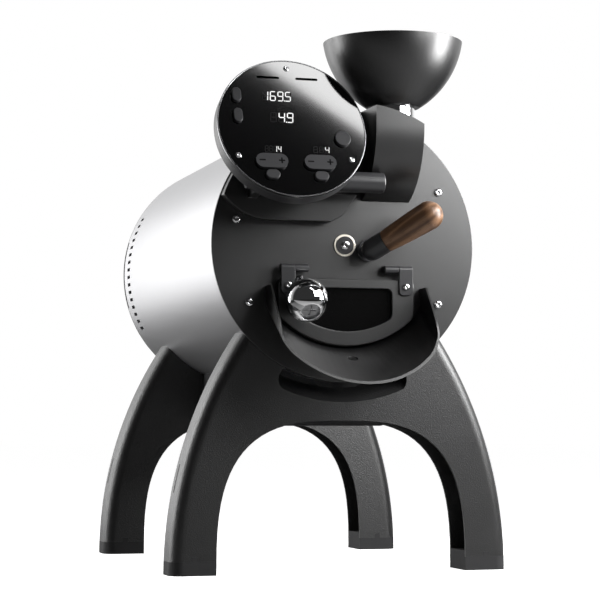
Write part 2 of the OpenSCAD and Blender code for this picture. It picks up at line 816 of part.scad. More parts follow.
module pivot_barrel() color("#2c2c2e") at_axis()
  translate([-barrel_left, -pivot_out, pivot_z]) rotate([0, 90, 0]) union() {
    cylinder(r = pivot_r, h = barrel_left + pivot_end - 1);
    translate([0, 0, barrel_left + pivot_end - 1]) cylinder(r1 = pivot_r, r2 = pivot_r - 1, h = 1, $fn = 72);
  }

// The display's own frame: y = 0 at the front of the glass, z up its face.
module at_display() at_axis() translate([-disp_x, -pivot_out, pivot_z]) rotate([-disp_tilt, 0, 0])
  translate([0, -disp_t - pivot_back, disp_rise]) children();

module display_bracket() color("#202022") at_display() translate([-sleeve_w / 2, disp_t, -disp_rise])
  rotate([90, 0, 90]) linear_extrude(sleeve_w) difference() {
    union() {
      intersection() {
        translate([pivot_back, 0]) circle(sleeve_r);
        translate([0, -2 * sleeve_r]) square([4 * sleeve_r, 4 * sleeve_r]);
      }
      square([pivot_back, bracket_h]);
    }
    translate([pivot_back, 0]) circle(pivot_r + run_gap);
  }

module display_housing() color("#3a3a3c") at_display() {
  turned() polygon([[0, disp_t - case_wall], [disp_r - case_wall, disp_t - case_wall],
    [disp_r - case_wall, glass_t + 0.3], [disp_r, glass_t + 0.3], [disp_r, disp_t - 2.5],
    [disp_r - 2.5, disp_t], [0, disp_t]]);
  for (a = [90, 210, 330]) rotate([0, -a, 0])
    rod(3.4, board_y + board_t, disp_t - over - board_y - board_t, boss_circle, 0);
  for (a = [90, 210, 330]) rotate([0, -a, 0])
    rod(3, glass_t + 0.3, disp_t - over - glass_t - 0.3, disp_screw_circle, 0);
}

module display_rim() color("silver") at_display() pipe(disp_r, rim_w, 0, glass_t + 0.3);

// Places and sizes of the seven buttons on the glass: x, z, width, height.
UPPER = [-49.9, 30.6, 8.6, 14.2];
LOWER = [-50.2, 9.5, 8.6, 14.2];
ROUND = [46.1, -10.2, 15, 15];
ROCKER_L = [-22.7, -35.5, 29.8, 14.2];
ROCKER_R = [22.4, -35.4, 29.8, 14.2];
LEFT = [-23, -48.8, 13.4, 9];
RIGHT = [22.4, -49, 13.4, 9];

module pill(p, grow = 0) translate([p[0], p[1]]) {
  w = p[2] / 2 + grow;
  h = p[3] / 2 + grow;
  r = min(w, h);
  if (w > h) {
    square([2 * (w - r), 2 * r], center = true);
    for (side = [-1, 1]) translate([side * (w - r), 0]) circle(r);
  } else if (h > w) {
    square([2 * r, 2 * (h - r)], center = true);
    for (side = [-1, 1]) translate([0, side * (h - r)]) circle(r);
  } else circle(r);
}

// The short pins that the two rockers turn on reach across their openings from the front panel.
module display_glass() color("#050505") at_display() {
  difference() {
    rod(disp_r - rim_w - 0.1, 0.3, glass_t);
    for (p = [UPPER, LOWER, ROUND, ROCKER_L, ROCKER_R, LEFT, RIGHT])
      slab(0, glass_t + over) pill(p, button_gap);
    for (x = [-18.4, 18.4]) slab(0, glass_t + over) pill([x, 50.9, 21.2, 2.5]);
  }
  for (p = [ROCKER_L, ROCKER_R]) rock_pin(p, rock_pin_r, 1);
}

// A pin up the face of the display, through a rocker and a distance past it at both ends.
module rock_pin(p, r, past) translate([p[0], rock_y, p[1] - p[3] / 2 - past])
  cylinder(r = r, h = p[3] + 2 * past);

// Where a button's stems stand: a rocker has one at each side, any other button one in its middle.
function stems(p) = p[2] > 2 * p[3] ? [-p[2] / 4, p[2] / 4] : [0];

module display_board() color("darkgreen") at_display() {
  difference() {
    rod(board_r, board_y, board_t);
    rod(board_hole_r, board_y - over, board_t + 2 * over);
  }
  for (p = [UPPER, LOWER, ROUND, ROCKER_L, ROCKER_R, LEFT, RIGHT], x = stems(p))
    rod(stem_r, board_y - switch_h, 2 * switch_h, p[0] + x, p[1]);
  for (z = [31.6, 10]) translate([-12, 0, z])
    block(-digit_block_w / 2, digit_block_w / 2, glass_t + 1, board_y + over,
      -digit_block_w / 5, digit_block_w / 5);
  for (x = [-20, 25]) translate([x, 0, -22])
    block(-small_block_w / 2, small_block_w / 2, glass_t + 1, board_y + over,
      -digit_block_w / 7, digit_block_w / 7);
}

module display_screws() color("silver") at_display()
  for (a = [90, 210, 330]) rotate([0, -a, 0]) screw_head(2.7, 1.3, disp_screw_circle, 0.3, 0);

// A push button: its cap stands out of the glass and its stems end just over the board's switches.
module button(p) color("#6a6a6e") at_display() {
  slab(-button_out, button_out + glass_t + 0.9) pill(p);
  stem_y = glass_t + 0.5;
  for (x = stems(p)) rod(stem_r, stem_y, board_y - switch_h - stem_y - stem_gap, p[0] + x, p[1]);
}

// A rocker is such a button with a hole for its pin.
module rocker(p) color("#6a6a6e") difference() {
  button(p);
  at_display() rock_pin(p, rock_pin_r + run_gap, over);
}

module button_upper() button(UPPER);
module button_lower() button(LOWER);
module button_round() button(ROUND);
module button_left() button(LEFT);
module button_right() button(RIGHT);
module rocker_left() rocker(ROCKER_L);
module rocker_right() rocker(ROCKER_R);

// ---- Sampler ---------------------------------------------------------------------------------

module trier_bush() color("#3a3a3c") at_axis() difference() {
  union() {
    rod(bush_r, -0.4, plate_t + 6, trier_x, -trier_z);
    rod(bush_r + flange_w, -2, 1.6, trier_x, -trier_z);
    rod(bush_r + flange_w, plate_t + 0.4, 2, trier_x, -trier_z);
  }
  rod(trier_r + run_gap, -over - 3, plate_t + 12 + over, trier_x, -trier_z);
}

// A tube with its upper half cut away behind the faceplate, closed at its far end.
module trier_scoop() color("silver") at_axis() difference() {
  rod(trier_r, elbow_y + 6, trier_len - elbow_y - 6, trier_x, -trier_z);
  difference() {
    rod(trier_r - 1, plate_t + 18, trier_len - plate_t - 22, trier_x, -trier_z);
    block(trier_x - 20, trier_x + 20, plate_t + 18, plate_t + 22, -trier_z - 20, -trier_z - 30);
  }
  block(trier_x - 20, trier_x + 20, plate_t + 24, trier_len - 12, -trier_z, -trier_z + 20);
}

// The handle's own line, from the elbow outwards.
module at_handle() translate([trier_x, elbow_y, -trier_z])
  rotate([0, 0, handle_swing]) rotate([90 - handle_lift, 0, 0]) children();

module trier_ferrule() color("#39393b") at_axis() difference() {
  union() {
    at_handle() sphere(handle_r);
    at_handle() cylinder(r = handle_r, h = ferrule_len);
  }
  block(trier_x - 30, trier_x + 30, elbow_y + 6, 20, -40, 40);
}

module trier_handle() color("#6b4226") at_axis() at_handle() translate([0, 0, ferrule_len]) rotate_extrude() {
  grow = handle_end_r - handle_r;
  body = handle_len - handle_end_r;
  union() {
    polygon([[0, 0], [handle_r, 0], [handle_r + 0.35 * grow, 0.25 * body],
      [handle_r + 0.8 * grow, 0.7 * body], [handle_end_r, body], [0, body]]);
    intersection() {
      translate([0, body]) circle(handle_end_r);
      square([handle_end_r, handle_len]);
    }
  }
}

// ---- Drum and drive --------------------------------------------------------------------------

module drum() color("gray") at_axis() {
  difference() {
    rod(drum_r, drum_y, drum_len);
    rod(drum_r - drum_wall, drum_y - over, drum_len - drum_wall + over);
    rod(shaft_r, plate_t, drum_len + 20);
    for (a = [0 : 30 : 330]) rotate([0, a, 0]) rod(0.1 * drum_r, drum_len - 10, 40, 0.64 * drum_r, 0);
  }
  for (i = [0 : vanes - 1]) rotate([0, i * 360 / vanes, 0])
    block(drum_r - drum_wall - vane_h, drum_r - drum_wall / 2, drum_y + vane_start,
      drum_y + drum_len - drum_wall / 2, -1, 1);
}

module drum_shaft() color("silver") at_axis() {
  difference() {
    rod(shaft_r, -2.6, shaft_end + 2.6);
    for (turn = [0, 90]) rotate([0, turn, 0]) block(-4, 4, -3.6, -1.6, -0.8, 0.8);
  }
  pipe(boss_r, boss_r - shaft_r, -2.4, 0.9);
}

module drum_pulley() color("gray") at_axis() difference() {
  union() {
    rod(pulley_r - belt_t / 2 - 0.3, belt_y - 1, belt_w + 2);
    for (y = [belt_y - 2.5, belt_y + belt_w + 1]) rod(pulley_r + 2, y, 1.5);
  }
  rod(shaft_r, belt_y - 10, 40);
}

// Outline round both pulleys, a distance grow outside their pitch circles.
module belt_loop(grow) {
  r1 = pulley_r + grow;
  r2 = motor_pulley_r + grow;
  a = asin((r1 - r2) / motor_z);
  polygon(concat(
    [for (t = [-a : (180 + 2 * a) / 24 : 180 + a + 0.1]) [r1 * cos(t), r1 * sin(t)]],
    [for (t = [180 + a : (180 - 2 * a) / 16 : 360 - a + 0.1]) [r2 * cos(t), -motor_z + r2 * sin(t)]]));
}

module drive_belt() color("#111111") at_axis() slab(belt_y, belt_w) difference() {
  belt_loop(belt_t / 2);
  belt_loop(-belt_t / 2);
}

module motor_pulley() color("gray") at_axis() {
  rod(motor_pulley_r - belt_t / 2 - 0.3, belt_y - 1, belt_w + 2, 0, -motor_z);
  for (y = [belt_y - 2.5, belt_y + belt_w + 1]) rod(motor_pulley_r + 2, y, 1.5, 0, -motor_z);
  rod(3, belt_y - 4, motor_y - belt_y + 4 + 3, 0, -motor_z);
}

module drum_motor() color("#555558") at_axis() difference() {
  union() {
    rod(motor_r, motor_y, motor_len, 0, -motor_z);
    // the bracket that carries it on the bulkhead
    slab(motor_y - 3, 3) translate([-motor_r - motor_lug, -motor_z - lug_h / 2])
      square([2 * motor_r + 2 * motor_lug, lug_h]);
    for (side = [-1, 1]) translate([side * (motor_r + motor_lug - lug_w / 2), 0, -motor_z])
      block(-lug_w / 2, lug_w / 2, duct_y, motor_y - 3, -lug_h / 2, lug_h / 2);
  }
  rod(3 + free_gap, motor_y - 4, 20, 0, -motor_z);
}

module bulkhead() color("#8a8a8e") at_axis() difference() {
  union() {
    rod(shell_r - shell_wall, bulkhead_y, bulkhead_t);
    rod(14, bulkhead_y - 6, bulkhead_t + 10);
  }
  rod(shaft_r + run_gap, bulkhead_y - 10, bulkhead_t + 20);
  rod(duct_r - 8, bulkhead_y - over, bulkhead_t + 2 * over, 0, fan_z);
}

module heater_sleeve() color("#c98b4a") at_axis() {
  pipe(drum_r + 9, 5, plate_t + 3, bulkhead_y - plate_t - 3);
  pipe(shell_r - shell_wall, shell_r - shell_wall - drum_r - 8, plate_t + 3, 3);
}

module exhaust_duct() color("#8a8a8e") at_axis() {
  pipe(duct_r, duct_wall, duct_y, cup_y - duct_y - 0.4, 0, fan_z);
  difference() {
    union() {
      rod(fan_boss_r, fan_y + fan_hub_len + 2, fan_boss_len, 0, fan_z);
      for (a = [30, 150, 270]) translate([0, fan_y + fan_hub_len + 8, fan_z]) rotate([0, a, 0])
        block(fan_boss_r - 2, duct_r - duct_wall / 2, 0, 2 * spoke_t, -spoke_t / 2, spoke_t / 2);
    }
    rod(fan_pin_r + run_gap, fan_y + fan_hub_len, fan_boss_len * 0.7, 0, fan_z);
  }
}

module exhaust_fan() color("#2b2b2d") at_axis() translate([0, fan_y, fan_z]) {
  rod(fan_hub_r, 0, fan_hub_len);
  rod(fan_pin_r, fan_hub_len - over, fan_boss_len * 0.65);
  blade_len = duct_r - duct_wall - 3 - fan_hub_r + 1;
  for (i = [0 : fan_blades - 1]) rotate([0, i * 360 / fan_blades, 0])
    translate([fan_hub_r - 1, fan_hub_len / 2, 0]) rotate([35, 0, 0])
      translate([0, -blade_w / 2, -blade_t / 2]) cube([blade_len, blade_w, blade_t]);
}

// A cup that pulls out of the rear, with slots for the air and a lid with a grip.
module chaff_collector() color("#9a9a9e") at_axis() translate([0, 0, fan_z]) difference() {
  lid_y = rear_y + cover_t;
  union() {
    rod(cup_r, cup_y, lid_y - cup_y + over);
    rod(cup_r + lid_lip, lid_y + free_gap, lid_t);
    block(-grip_t / 2, grip_t / 2, lid_y, lid_y + collector_lid, -grip_len / 2, grip_len / 2);
  }
  rod(cup_r - cup_wall, cup_y - over, lid_y - cup_y - 1);
  for (a = [-60 : 20 : 60], side = [0, 180]) rotate([0, side + a, 0])
    block(cup_r / 3, cup_r - 6, rear_y - 4, lid_y + collector_lid + over, -2, 2);
}

// ---- Power inlet and switch ------------------------------------------------------------------

module inlet_outline(grow) translate([inlet_x, 0, inlet_z])
  block(-14 - grow, 14 + grow, rear_y - over - 3, rear_y + cover_t + over, -10 - grow, 10 + grow);

module switch_outline(grow) translate([switch_x, 0, inlet_z])
  block(-7 - grow, 7 + grow, rear_y - over - 3, rear_y + cover_t + over, -11 - grow, 11 + grow);

module power_inlet() color("#111111") at_axis() difference() {
  union() {
    block(inlet_x - 14, inlet_x + 14, rear_y - 18, rear_y + cover_t, inlet_z - 10, inlet_z + 10);
    block(inlet_x - 20, inlet_x + 20, rear_y + cover_t, rear_y + cover_t + 2, inlet_z - 14, inlet_z + 14);
  }
  block(inlet_x - 11.5, inlet_x + 11.5, rear_y - 14, rear_y + cover_t + 3, inlet_z - 7.5, inlet_z + 7.5);
}

module power_switch() color("#111111") at_axis() difference() {
  block(switch_x - 6.6, switch_x + 6.6, rear_y - 4, rear_y + cover_t + 3, inlet_z - 10.4, inlet_z + 10.4);
  cross_rod(switch_pin_r + run_gap, switch_x - 8, 16, switch_y, inlet_z);
  translate([switch_x, rear_y + cover_t + 4.6, inlet_z]) rotate([8, 0, 0]) block(-10, 10, -1.6, 4, -14, 0);
}

// ---- The roaster -----------------------------------------------------------------------------

body_shell();
rear_ring();
rear_cover();
faceplate();
faceplate_screws();
front_arch();
rear_arch();
foot_front_left();
foot_front_right();
foot_rear_left();
foot_rear_right();
underbody_housing();
bottom_cover();
power_board();
discharge_spout();
hinge_knuckles();
shaft_bush();
bean_probe();
inlet_hood();
inlet_collar();
funnel();
display_mount();
pivot_barrel();
display_bracket();
display_housing();
display_rim();
display_glass();
display_board();
display_screws();
button_upper();
button_lower();
button_round();
rocker_left();
rocker_right();
button_left();
button_right();
door_frame();
door_glass();
hinge_leaves();
door_screws();
knob_post();
ball_knob();
knob_screw();
trier_bush();
trier_scoop();
trier_ferrule();
trier_handle();
drum();
drum_shaft();
drum_pulley();
drive_belt();
bulkhead();
motor_pulley();
drum_motor();
heater_sleeve();
exhaust_duct();
exhaust_fan();
chaff_collector();
power_inlet();
power_switch();
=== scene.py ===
"""Dresses a packed home coffee bean roaster.

It gives the frame its finishes, soft edges, screws and lit digits, and sets up a small studio.
"""

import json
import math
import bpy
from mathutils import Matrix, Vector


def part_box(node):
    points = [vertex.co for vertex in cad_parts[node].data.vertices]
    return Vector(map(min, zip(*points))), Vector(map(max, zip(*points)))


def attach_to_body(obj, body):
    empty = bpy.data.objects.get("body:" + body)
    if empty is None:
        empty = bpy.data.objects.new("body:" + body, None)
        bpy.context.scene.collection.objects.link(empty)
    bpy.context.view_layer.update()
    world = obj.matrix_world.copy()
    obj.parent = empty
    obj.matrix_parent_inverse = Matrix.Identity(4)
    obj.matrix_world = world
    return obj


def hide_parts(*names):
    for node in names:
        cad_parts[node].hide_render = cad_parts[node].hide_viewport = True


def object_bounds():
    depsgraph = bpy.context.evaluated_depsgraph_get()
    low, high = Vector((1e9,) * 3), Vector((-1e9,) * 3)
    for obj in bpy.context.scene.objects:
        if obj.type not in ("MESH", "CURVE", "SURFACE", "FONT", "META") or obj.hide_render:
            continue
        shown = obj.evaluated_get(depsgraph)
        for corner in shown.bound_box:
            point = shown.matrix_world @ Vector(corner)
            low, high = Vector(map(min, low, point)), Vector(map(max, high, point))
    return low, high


bl_info = {
    "name": "Coffee Roaster Finishes",
    "version": (1, 0, 0),
    "blender": (4, 5, 0),
    "location": "View3D > Sidebar > Roaster",
    "description": "Finishes, small details and a studio for a home coffee bean roaster",
    "category": "Object",
}

import bmesh
import bpy
from mathutils import Matrix, Vector

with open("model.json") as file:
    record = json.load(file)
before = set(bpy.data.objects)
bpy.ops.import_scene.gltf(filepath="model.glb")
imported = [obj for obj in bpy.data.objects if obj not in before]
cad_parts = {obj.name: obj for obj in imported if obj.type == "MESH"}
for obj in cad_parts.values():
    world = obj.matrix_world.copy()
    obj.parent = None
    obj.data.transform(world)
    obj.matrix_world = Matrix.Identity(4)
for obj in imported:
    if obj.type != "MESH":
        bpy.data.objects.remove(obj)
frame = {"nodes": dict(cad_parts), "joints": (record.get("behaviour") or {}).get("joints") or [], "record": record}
cad_low, cad_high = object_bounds()

MM = 0.001
FRONT = Vector((0.0, -1.0, 0.0))
WELD = 2e-6  # metres within which corners of the loose triangles are one
FLAT = math.radians(0.4)  # faces within this angle are one flat face
BEVELLED = math.radians(75.0)  # a bevelled piece is shaded smooth up to this angle
UNSTRETCHED = (1.0, 1.0, 1.0)
FINE, BROAD = 0.5, 1.5  # shares of the sheet edge on fine and on broad pieces
NODE_SLOT = {part["node"]: part["material_slot"] for part in frame["record"]["subparts"]}
NODE_BODY = {
    node: body
    for body, members in frame["record"]["behaviour"]["bodies"].items()
    for node in members
}
JOINTS = {joint["name"]: joint for joint in frame["joints"]}


# ---- Places read from the frame -----------------------------------------------------------------


def middle(node):
    low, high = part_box(node)
    return (low + high) / 2


FACE_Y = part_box("faceplate")[0].y
FACE_MIDDLE = Vector((middle("faceplate").x, FACE_Y, middle("faceplate").z))
FACE_FOOT = Vector((0.0, FACE_Y, 0.0))  # on the floor, below the middle of the faceplate
PRESS_IN = Vector(JOINTS["button_round_press"]["axis"]).normalized()
FACE_UP = Vector(JOINTS["rocker_left_rock"]["axis"]).normalized()
FACE_RIGHT = FACE_UP.cross(-PRESS_IN).normalized()
RIM_HALF_DEPTH = 1.35 * MM
GLASS_FRONT = middle("display_rim") - PRESS_IN * RIM_HALF_DEPTH


def on_display(u, v, out=0.0):
    """A point on the display's glass: u to the right, v up its face and out of it, in metres."""
    return GLASS_FRONT + FACE_RIGHT * u + FACE_UP * v - PRESS_IN * out


def display_matrix(u=0.0, v=0.0, out=0.0):
    """Axes of the display's face: x to the right, y up the face, z out of it."""
    matrix = Matrix((FACE_RIGHT, FACE_UP, -PRESS_IN)).transposed().to_4x4()
    matrix.translation = on_display(u, v, out)
    return matrix


# ---- Shader maths -------------------------------------------------------------------------------


class Value:
    """A shader socket that Python's operators work on."""

    def __init__(self, sheet, socket):
        self.sheet = sheet
        self.socket = socket

    def _math(self, operation, first, second):
        return self.sheet.node("ShaderNodeMath", {"operation": operation}, {0: first, 1: second})

    def __add__(self, other):
        return self._math("ADD", self, other)

    def __radd__(self, other):
        return self._math("ADD", other, self)

    def __sub__(self, other):
        return self._math("SUBTRACT", self, other)

    def __rsub__(self, other):
        return self._math("SUBTRACT", other, self)

    def __mul__(self, other):
        return self._math("MULTIPLY", self, other)

    def __rmul__(self, other):
        return self._math("MULTIPLY", other, self)

    def __lt__(self, other):
        return self._math("LESS_THAN", self, other)

    def __gt__(self, other):
        return self._math("GREATER_THAN", self, other)


class Sheet:
    """A node tree that one method fills."""

    def __init__(self, tree):
        self.tree = tree
        tree.nodes.clear()

    def node(self, kind, settings=None, values=None, out=0):
        """The output asked for of a new node with these settings and socket values or links."""
        node = self.tree.nodes.new(kind)
        for name, setting in (settings or {}).items():
            if name == "stops":
                for place, (position, color) in enumerate(setting):
                    stops = node.color_ramp.elements
                    stop = stops[place] if place < len(stops) else stops.new(position)
                    stop.position = position
                    stop.color = (*color, 1.0)
            else:
                setattr(node, name, setting)
        for name, value in (values or {}).items():
            socket = node.inputs[name]
            if isinstance(value, Value):
                self.tree.links.new(value.socket, socket)
            elif hasattr(value, "__len__") and socket.type == "RGBA":
                socket.default_value = (*value[:3], 1.0)
            else:
                socket.default_value = value
        return Value(self, node.outputs[out]) if node.outputs else node

    def place(self):
        """Object coordinates, in metres."""
        return self.node("ShaderNodeTexCoord", out=3)

    def noise(self, where, scale, detail=2.0, roughness=0.5):
        """Noise with about scale grains to the metre."""
        values = {"Vector": where, "Scale": scale, "Detail": detail, "Roughness": roughness}
        return self.node("ShaderNodeTexNoise", {}, values)

    def stretched(self, where, scale):
        """Coordinates scaled on each axis. A small scale draws a pattern out along its axis."""
        return self.node("ShaderNodeMapping", {}, {"Vector": where, "Scale": scale})

    def bump(self, height, distance, strength=1.0):
        """A bump of the given depth in metres."""
        values = {"Height": height, "Distance": distance, "Strength": strength}
        return self.node("ShaderNodeBump", {}, values)

    def mix(self, factor, first, second):
        """A colour between two others."""
        values = {0: factor, 6: first, 7: second}
        return self.node("ShaderNodeMix", {"data_type": "RGBA"}, values, out=2)

    def blend(self, factor, first, second):
        """A shader between two others."""
        return self.node("ShaderNodeMixShader", {}, {0: factor, 1: first, 2: second})

    def larger(self, first, second):
        return self.node("ShaderNodeMath", {"operation": "MAXIMUM"}, {0: first, 1: second})

    def ramp(self, value, start, end):
        """0 up to start, rising evenly to 1 at end."""
        slope = 1.0 / (end - start)
        settings = {"operation": "MULTIPLY_ADD", "use_clamp": True}
        return self.node("ShaderNodeMath", settings, {0: value, 1: slope, 2: -start * slope})

    def seen_ray(self):
        """1 where the camera looks, also through glass."""
        camera_ray = self.node("ShaderNodeLightPath", out=0)
        transmission_ray = self.node("ShaderNodeLightPath", out=6)
        return self.larger(camera_ray, transmission_ray)

    def glossy_ray(self):
        return self.node("ShaderNodeLightPath", out=3)


def shader_sheet(owner):
    """The emptied node tree of a material or a world."""
    owner.use_nodes = True
    return Sheet(owner.node_tree)


def finish(name, build):
    """A named material whose surface is the principled shader that build(sheet) describes."""
    material = bpy.data.materials.new(name)
    sheet = shader_sheet(material)
    surface = sheet.node("ShaderNodeBsdfPrincipled", {}, build(sheet))
    sheet.node("ShaderNodeOutputMaterial", {}, {"Surface": surface})
    return material


# ---- Finishes -----------------------------------------------------------------------------------


def blasted_aluminium(color):
    """Aluminium with the fine matt grain of bead blasting."""

    def build(sheet):
        where = sheet.place()
        grain = sheet.noise(where, scale=1500.0, detail=3.0, roughness=0.6)
        cloud = sheet.noise(where, scale=9.0)
        return {
            "Base Color": color,
            "Metallic": 1.0,
            "Roughness": 0.36 + cloud * 0.06 + grain * 0.06,
            "Normal": sheet.bump(grain, 0.00004, 0.6),
        }

    return build


def powder_coat(color, roughness, grain_scale, grain_depth, speckle=0.25, shine=0.5):
    """Paint with a fine grain, whose colour varies by the share speckle."""

    def build(sheet):
        where = sheet.place()
        grain = sheet.noise(where, grain_scale, detail=3.0, roughness=0.65)
        cloud = sheet.noise(where, scale=14.0)
        light = [min(1.0, c * (1.0 + speckle)) for c in color]
        dark = [c * (1.0 - speckle) for c in color]
        return {
            "Base Color": sheet.mix(grain, dark, light),
            "Roughness": roughness - 0.05 + cloud * 0.1,
            "Specular IOR Level": shine,
            "Normal": sheet.bump(grain, grain_depth, 0.8),
        }

    return build


def moulded_plastic(color, roughness):
    """Plastic with the faint grain of its mould."""

    def build(sheet):
        grain = sheet.noise(sheet.place(), scale=2400.0)
        return {
            "Base Color": color,
            "Roughness": roughness + grain * 0.06,
            "Normal": sheet.bump(grain, 0.00002, 0.5),
        }

    return build


def moulded_rubber(color):
    """Matt rubber with a little dust on it."""

    def build(sheet):
        where = sheet.place()
        grain = sheet.noise(where, scale=1100.0)
        dust = sheet.noise(where, scale=60.0, detail=4.0)
        return {
            "Base Color": sheet.mix(dust, color, [c * 1.6 for c in color]),
            "Roughness": 0.72 + grain * 0.12,
            "Normal": sheet.bump(grain, 0.00005, 0.6),
        }

    return build


def polished_metal(color, roughness):
    """Smooth metal with faint smears."""

    def build(sheet):
        smear = sheet.noise(sheet.place(), scale=40.0, detail=3.0)
        return {"Base Color": color, "Metallic": 1.0, "Roughness": roughness + smear * 0.04}

    return build


def brushed_metal(color, roughness, stretch):
    """Metal with fine lines drawn out as stretch says."""

    def build(sheet):
        where = sheet.stretched(sheet.place(), stretch)
        lines = sheet.noise(where, scale=30.0, detail=5.0, roughness=0.7)
        return {
            "Base Color": sheet.mix(lines, [c * 0.8 for c in color], color),
            "Metallic": 1.0,
            "Roughness": roughness + lines * 0.12,
            "Normal": sheet.bump(lines, 0.00003, 0.5),
        }

    return build


def roasted_steel(color):
    """Drum steel that has browned with use."""

    def build(sheet):
        where = sheet.place()
        stain = sheet.noise(where, scale=26.0, detail=5.0, roughness=0.6)
        return {
            "Base Color": sheet.mix(stain, [c * 0.25 for c in color], color),
            "Metallic": 0.85,
            "Roughness": 0.42 + stain * 0.2,
        }

    return build


def black_glass(roughness):
    """Glass printed black on its back, with faint smears."""

    def build(sheet):
        smear = sheet.noise(sheet.place(), scale=18.0, detail=3.0)
        return {
            "Base Color": (0.001, 0.001, 0.0012),
            "Roughness": roughness + smear * 0.02,
            "Specular IOR Level": 1.0,
        }

    return build


def smoked_glass():
    """Dark glass that lets a little light through, with a haze of oil."""

    def build(sheet):
        haze = sheet.noise(sheet.place(), scale=22.0, detail=4.0)
        return {
            "Base Color": (0.003, 0.003, 0.003),
            "Roughness": 0.05 + haze * 0.05,
            "Alpha": 0.9 + haze * 0.08,
        }

    return build


def oiled_walnut(axis_node):
    """Walnut whose grain runs along the handle."""

    def build(sheet):
        low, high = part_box(axis_node)
        along = (high - low).normalized()
        along.y = -along.y
        turn = along.to_track_quat("Z", "Y").to_euler()
        where = sheet.node(
            "ShaderNodeMapping",
            {"vector_type": "TEXTURE"},
            {"Vector": sheet.place(), "Location": middle(axis_node), "Rotation": turn},
        )
        slow = sheet.stretched(where, (1.0, 1.0, 0.12))
        swirl = sheet.noise(slow, scale=60.0, detail=4.0, roughness=0.6)
        rings = sheet.node(
            "ShaderNodeTexWave",
            {"wave_type": "RINGS", "rings_direction": "X"},
            {"Vector": slow, "Scale": 40.0, "Distortion": 7.0, "Detail": 3.0, "Detail Scale": 1.6},
            out=1,
        )
        drawn_out = sheet.stretched(where, (1.0, 1.0, 0.06))
        pores = sheet.noise(drawn_out, scale=1300.0, roughness=0.6)
        tone = rings * 0.45 + swirl * 0.55
        heart, middling, sapwood = (0.075, 0.036, 0.017), (0.15, 0.078, 0.04), (0.27, 0.15, 0.083)
        pore_color = (0.05, 0.018, 0.008)
        stops = [(0.2, heart), (0.52, middling), (0.85, sapwood)]
        color = sheet.node("ShaderNodeValToRGB", {"stops": stops}, {"Fac": tone})
        return {
            "Base Color": sheet.mix((pores > 0.62) * 0.55, color, pore_color),
            "Roughness": 0.32 + swirl * 0.12,
            "Normal": sheet.bump(pores, 0.00006, 0.4),
        }

    return build


def solder_mask():
    """The green coat of a circuit board over its tracks."""

    def build(sheet):
        tracks = sheet.node(
            "ShaderNodeTexVoronoi",
            {"feature": "DISTANCE_TO_EDGE", "distance": "CHEBYCHEV"},
            {"Vector": sheet.place(), "Scale": 260.0},
        )
        return {
            "Base Color": sheet.mix(tracks < 0.06, (0.012, 0.08, 0.028), (0.05, 0.2, 0.08)),
            "Roughness": 0.35 + tracks * 0.1,
        }

    return build


def mineral_fibre():
    """A felt of pale brown mineral fibres."""

    def build(sheet):
        where = sheet.stretched(sheet.place(), (1.0, 4.0, 1.0))
        fibre = sheet.noise(where, scale=160.0, detail=5.0, roughness=0.7)
        return {
            "Base Color": sheet.mix(fibre, (0.36, 0.27, 0.16), (0.66, 0.56, 0.4)),
            "Roughness": 0.9,
            "Normal": sheet.bump(fibre, 0.0008, 0.7),
        }

    return build


def lit_digit(color, strength):
    """A stroke of a number in the display, lit with the given strength."""

    def build(sheet):
        return {
            "Base Color": (0.006, 0.006, 0.006),
            "Emission Color": color,
            "Emission Strength": strength,
            "Roughness": 0.4,
            "Specular IOR Level": 0.1,
        }

    return build


# ---- Settings -----------------------------------------------------------------------------------


class RoasterFinishSettings(bpy.types.PropertyGroup):
    """Colours and edges that a user may change."""

    aluminium: bpy.props.FloatVectorProperty(
        name="Barrel aluminium", description="Colour of the blasted barrel", subtype="COLOR",
        size=3, min=0.0, max=1.0, default=(0.5, 0.5, 0.51),
    )
    coat: bpy.props.FloatVectorProperty(
        name="Black coat", description="Colour of the powder coat on plate and stand",
        subtype="COLOR", size=3, min=0.0, max=1.0, default=(0.005, 0.005, 0.0053),
    )
    button: bpy.props.FloatVectorProperty(
        name="Buttons", description="Colour of the button caps", subtype="COLOR",
        size=3, min=0.0, max=1.0, default=(0.032, 0.032, 0.034),
    )
    digits: bpy.props.FloatVectorProperty(
        name="Digits", description="Light of the lit digits", subtype="COLOR",
        size=3, min=0.0, max=1.0, default=(1.0, 1.0, 1.0),
    )
    sheet_edge: bpy.props.FloatProperty(
        name="Sheet edge", description="Rounding of sheet metal edges", unit="LENGTH",
        min=0.0, max=0.002, default=0.0004,
    )
    cast_edge: bpy.props.FloatProperty(
        name="Moulded edge", description="Rounding of moulded and turned edges", unit="LENGTH",
        min=0.0, max=0.004, default=0.0008,
    )


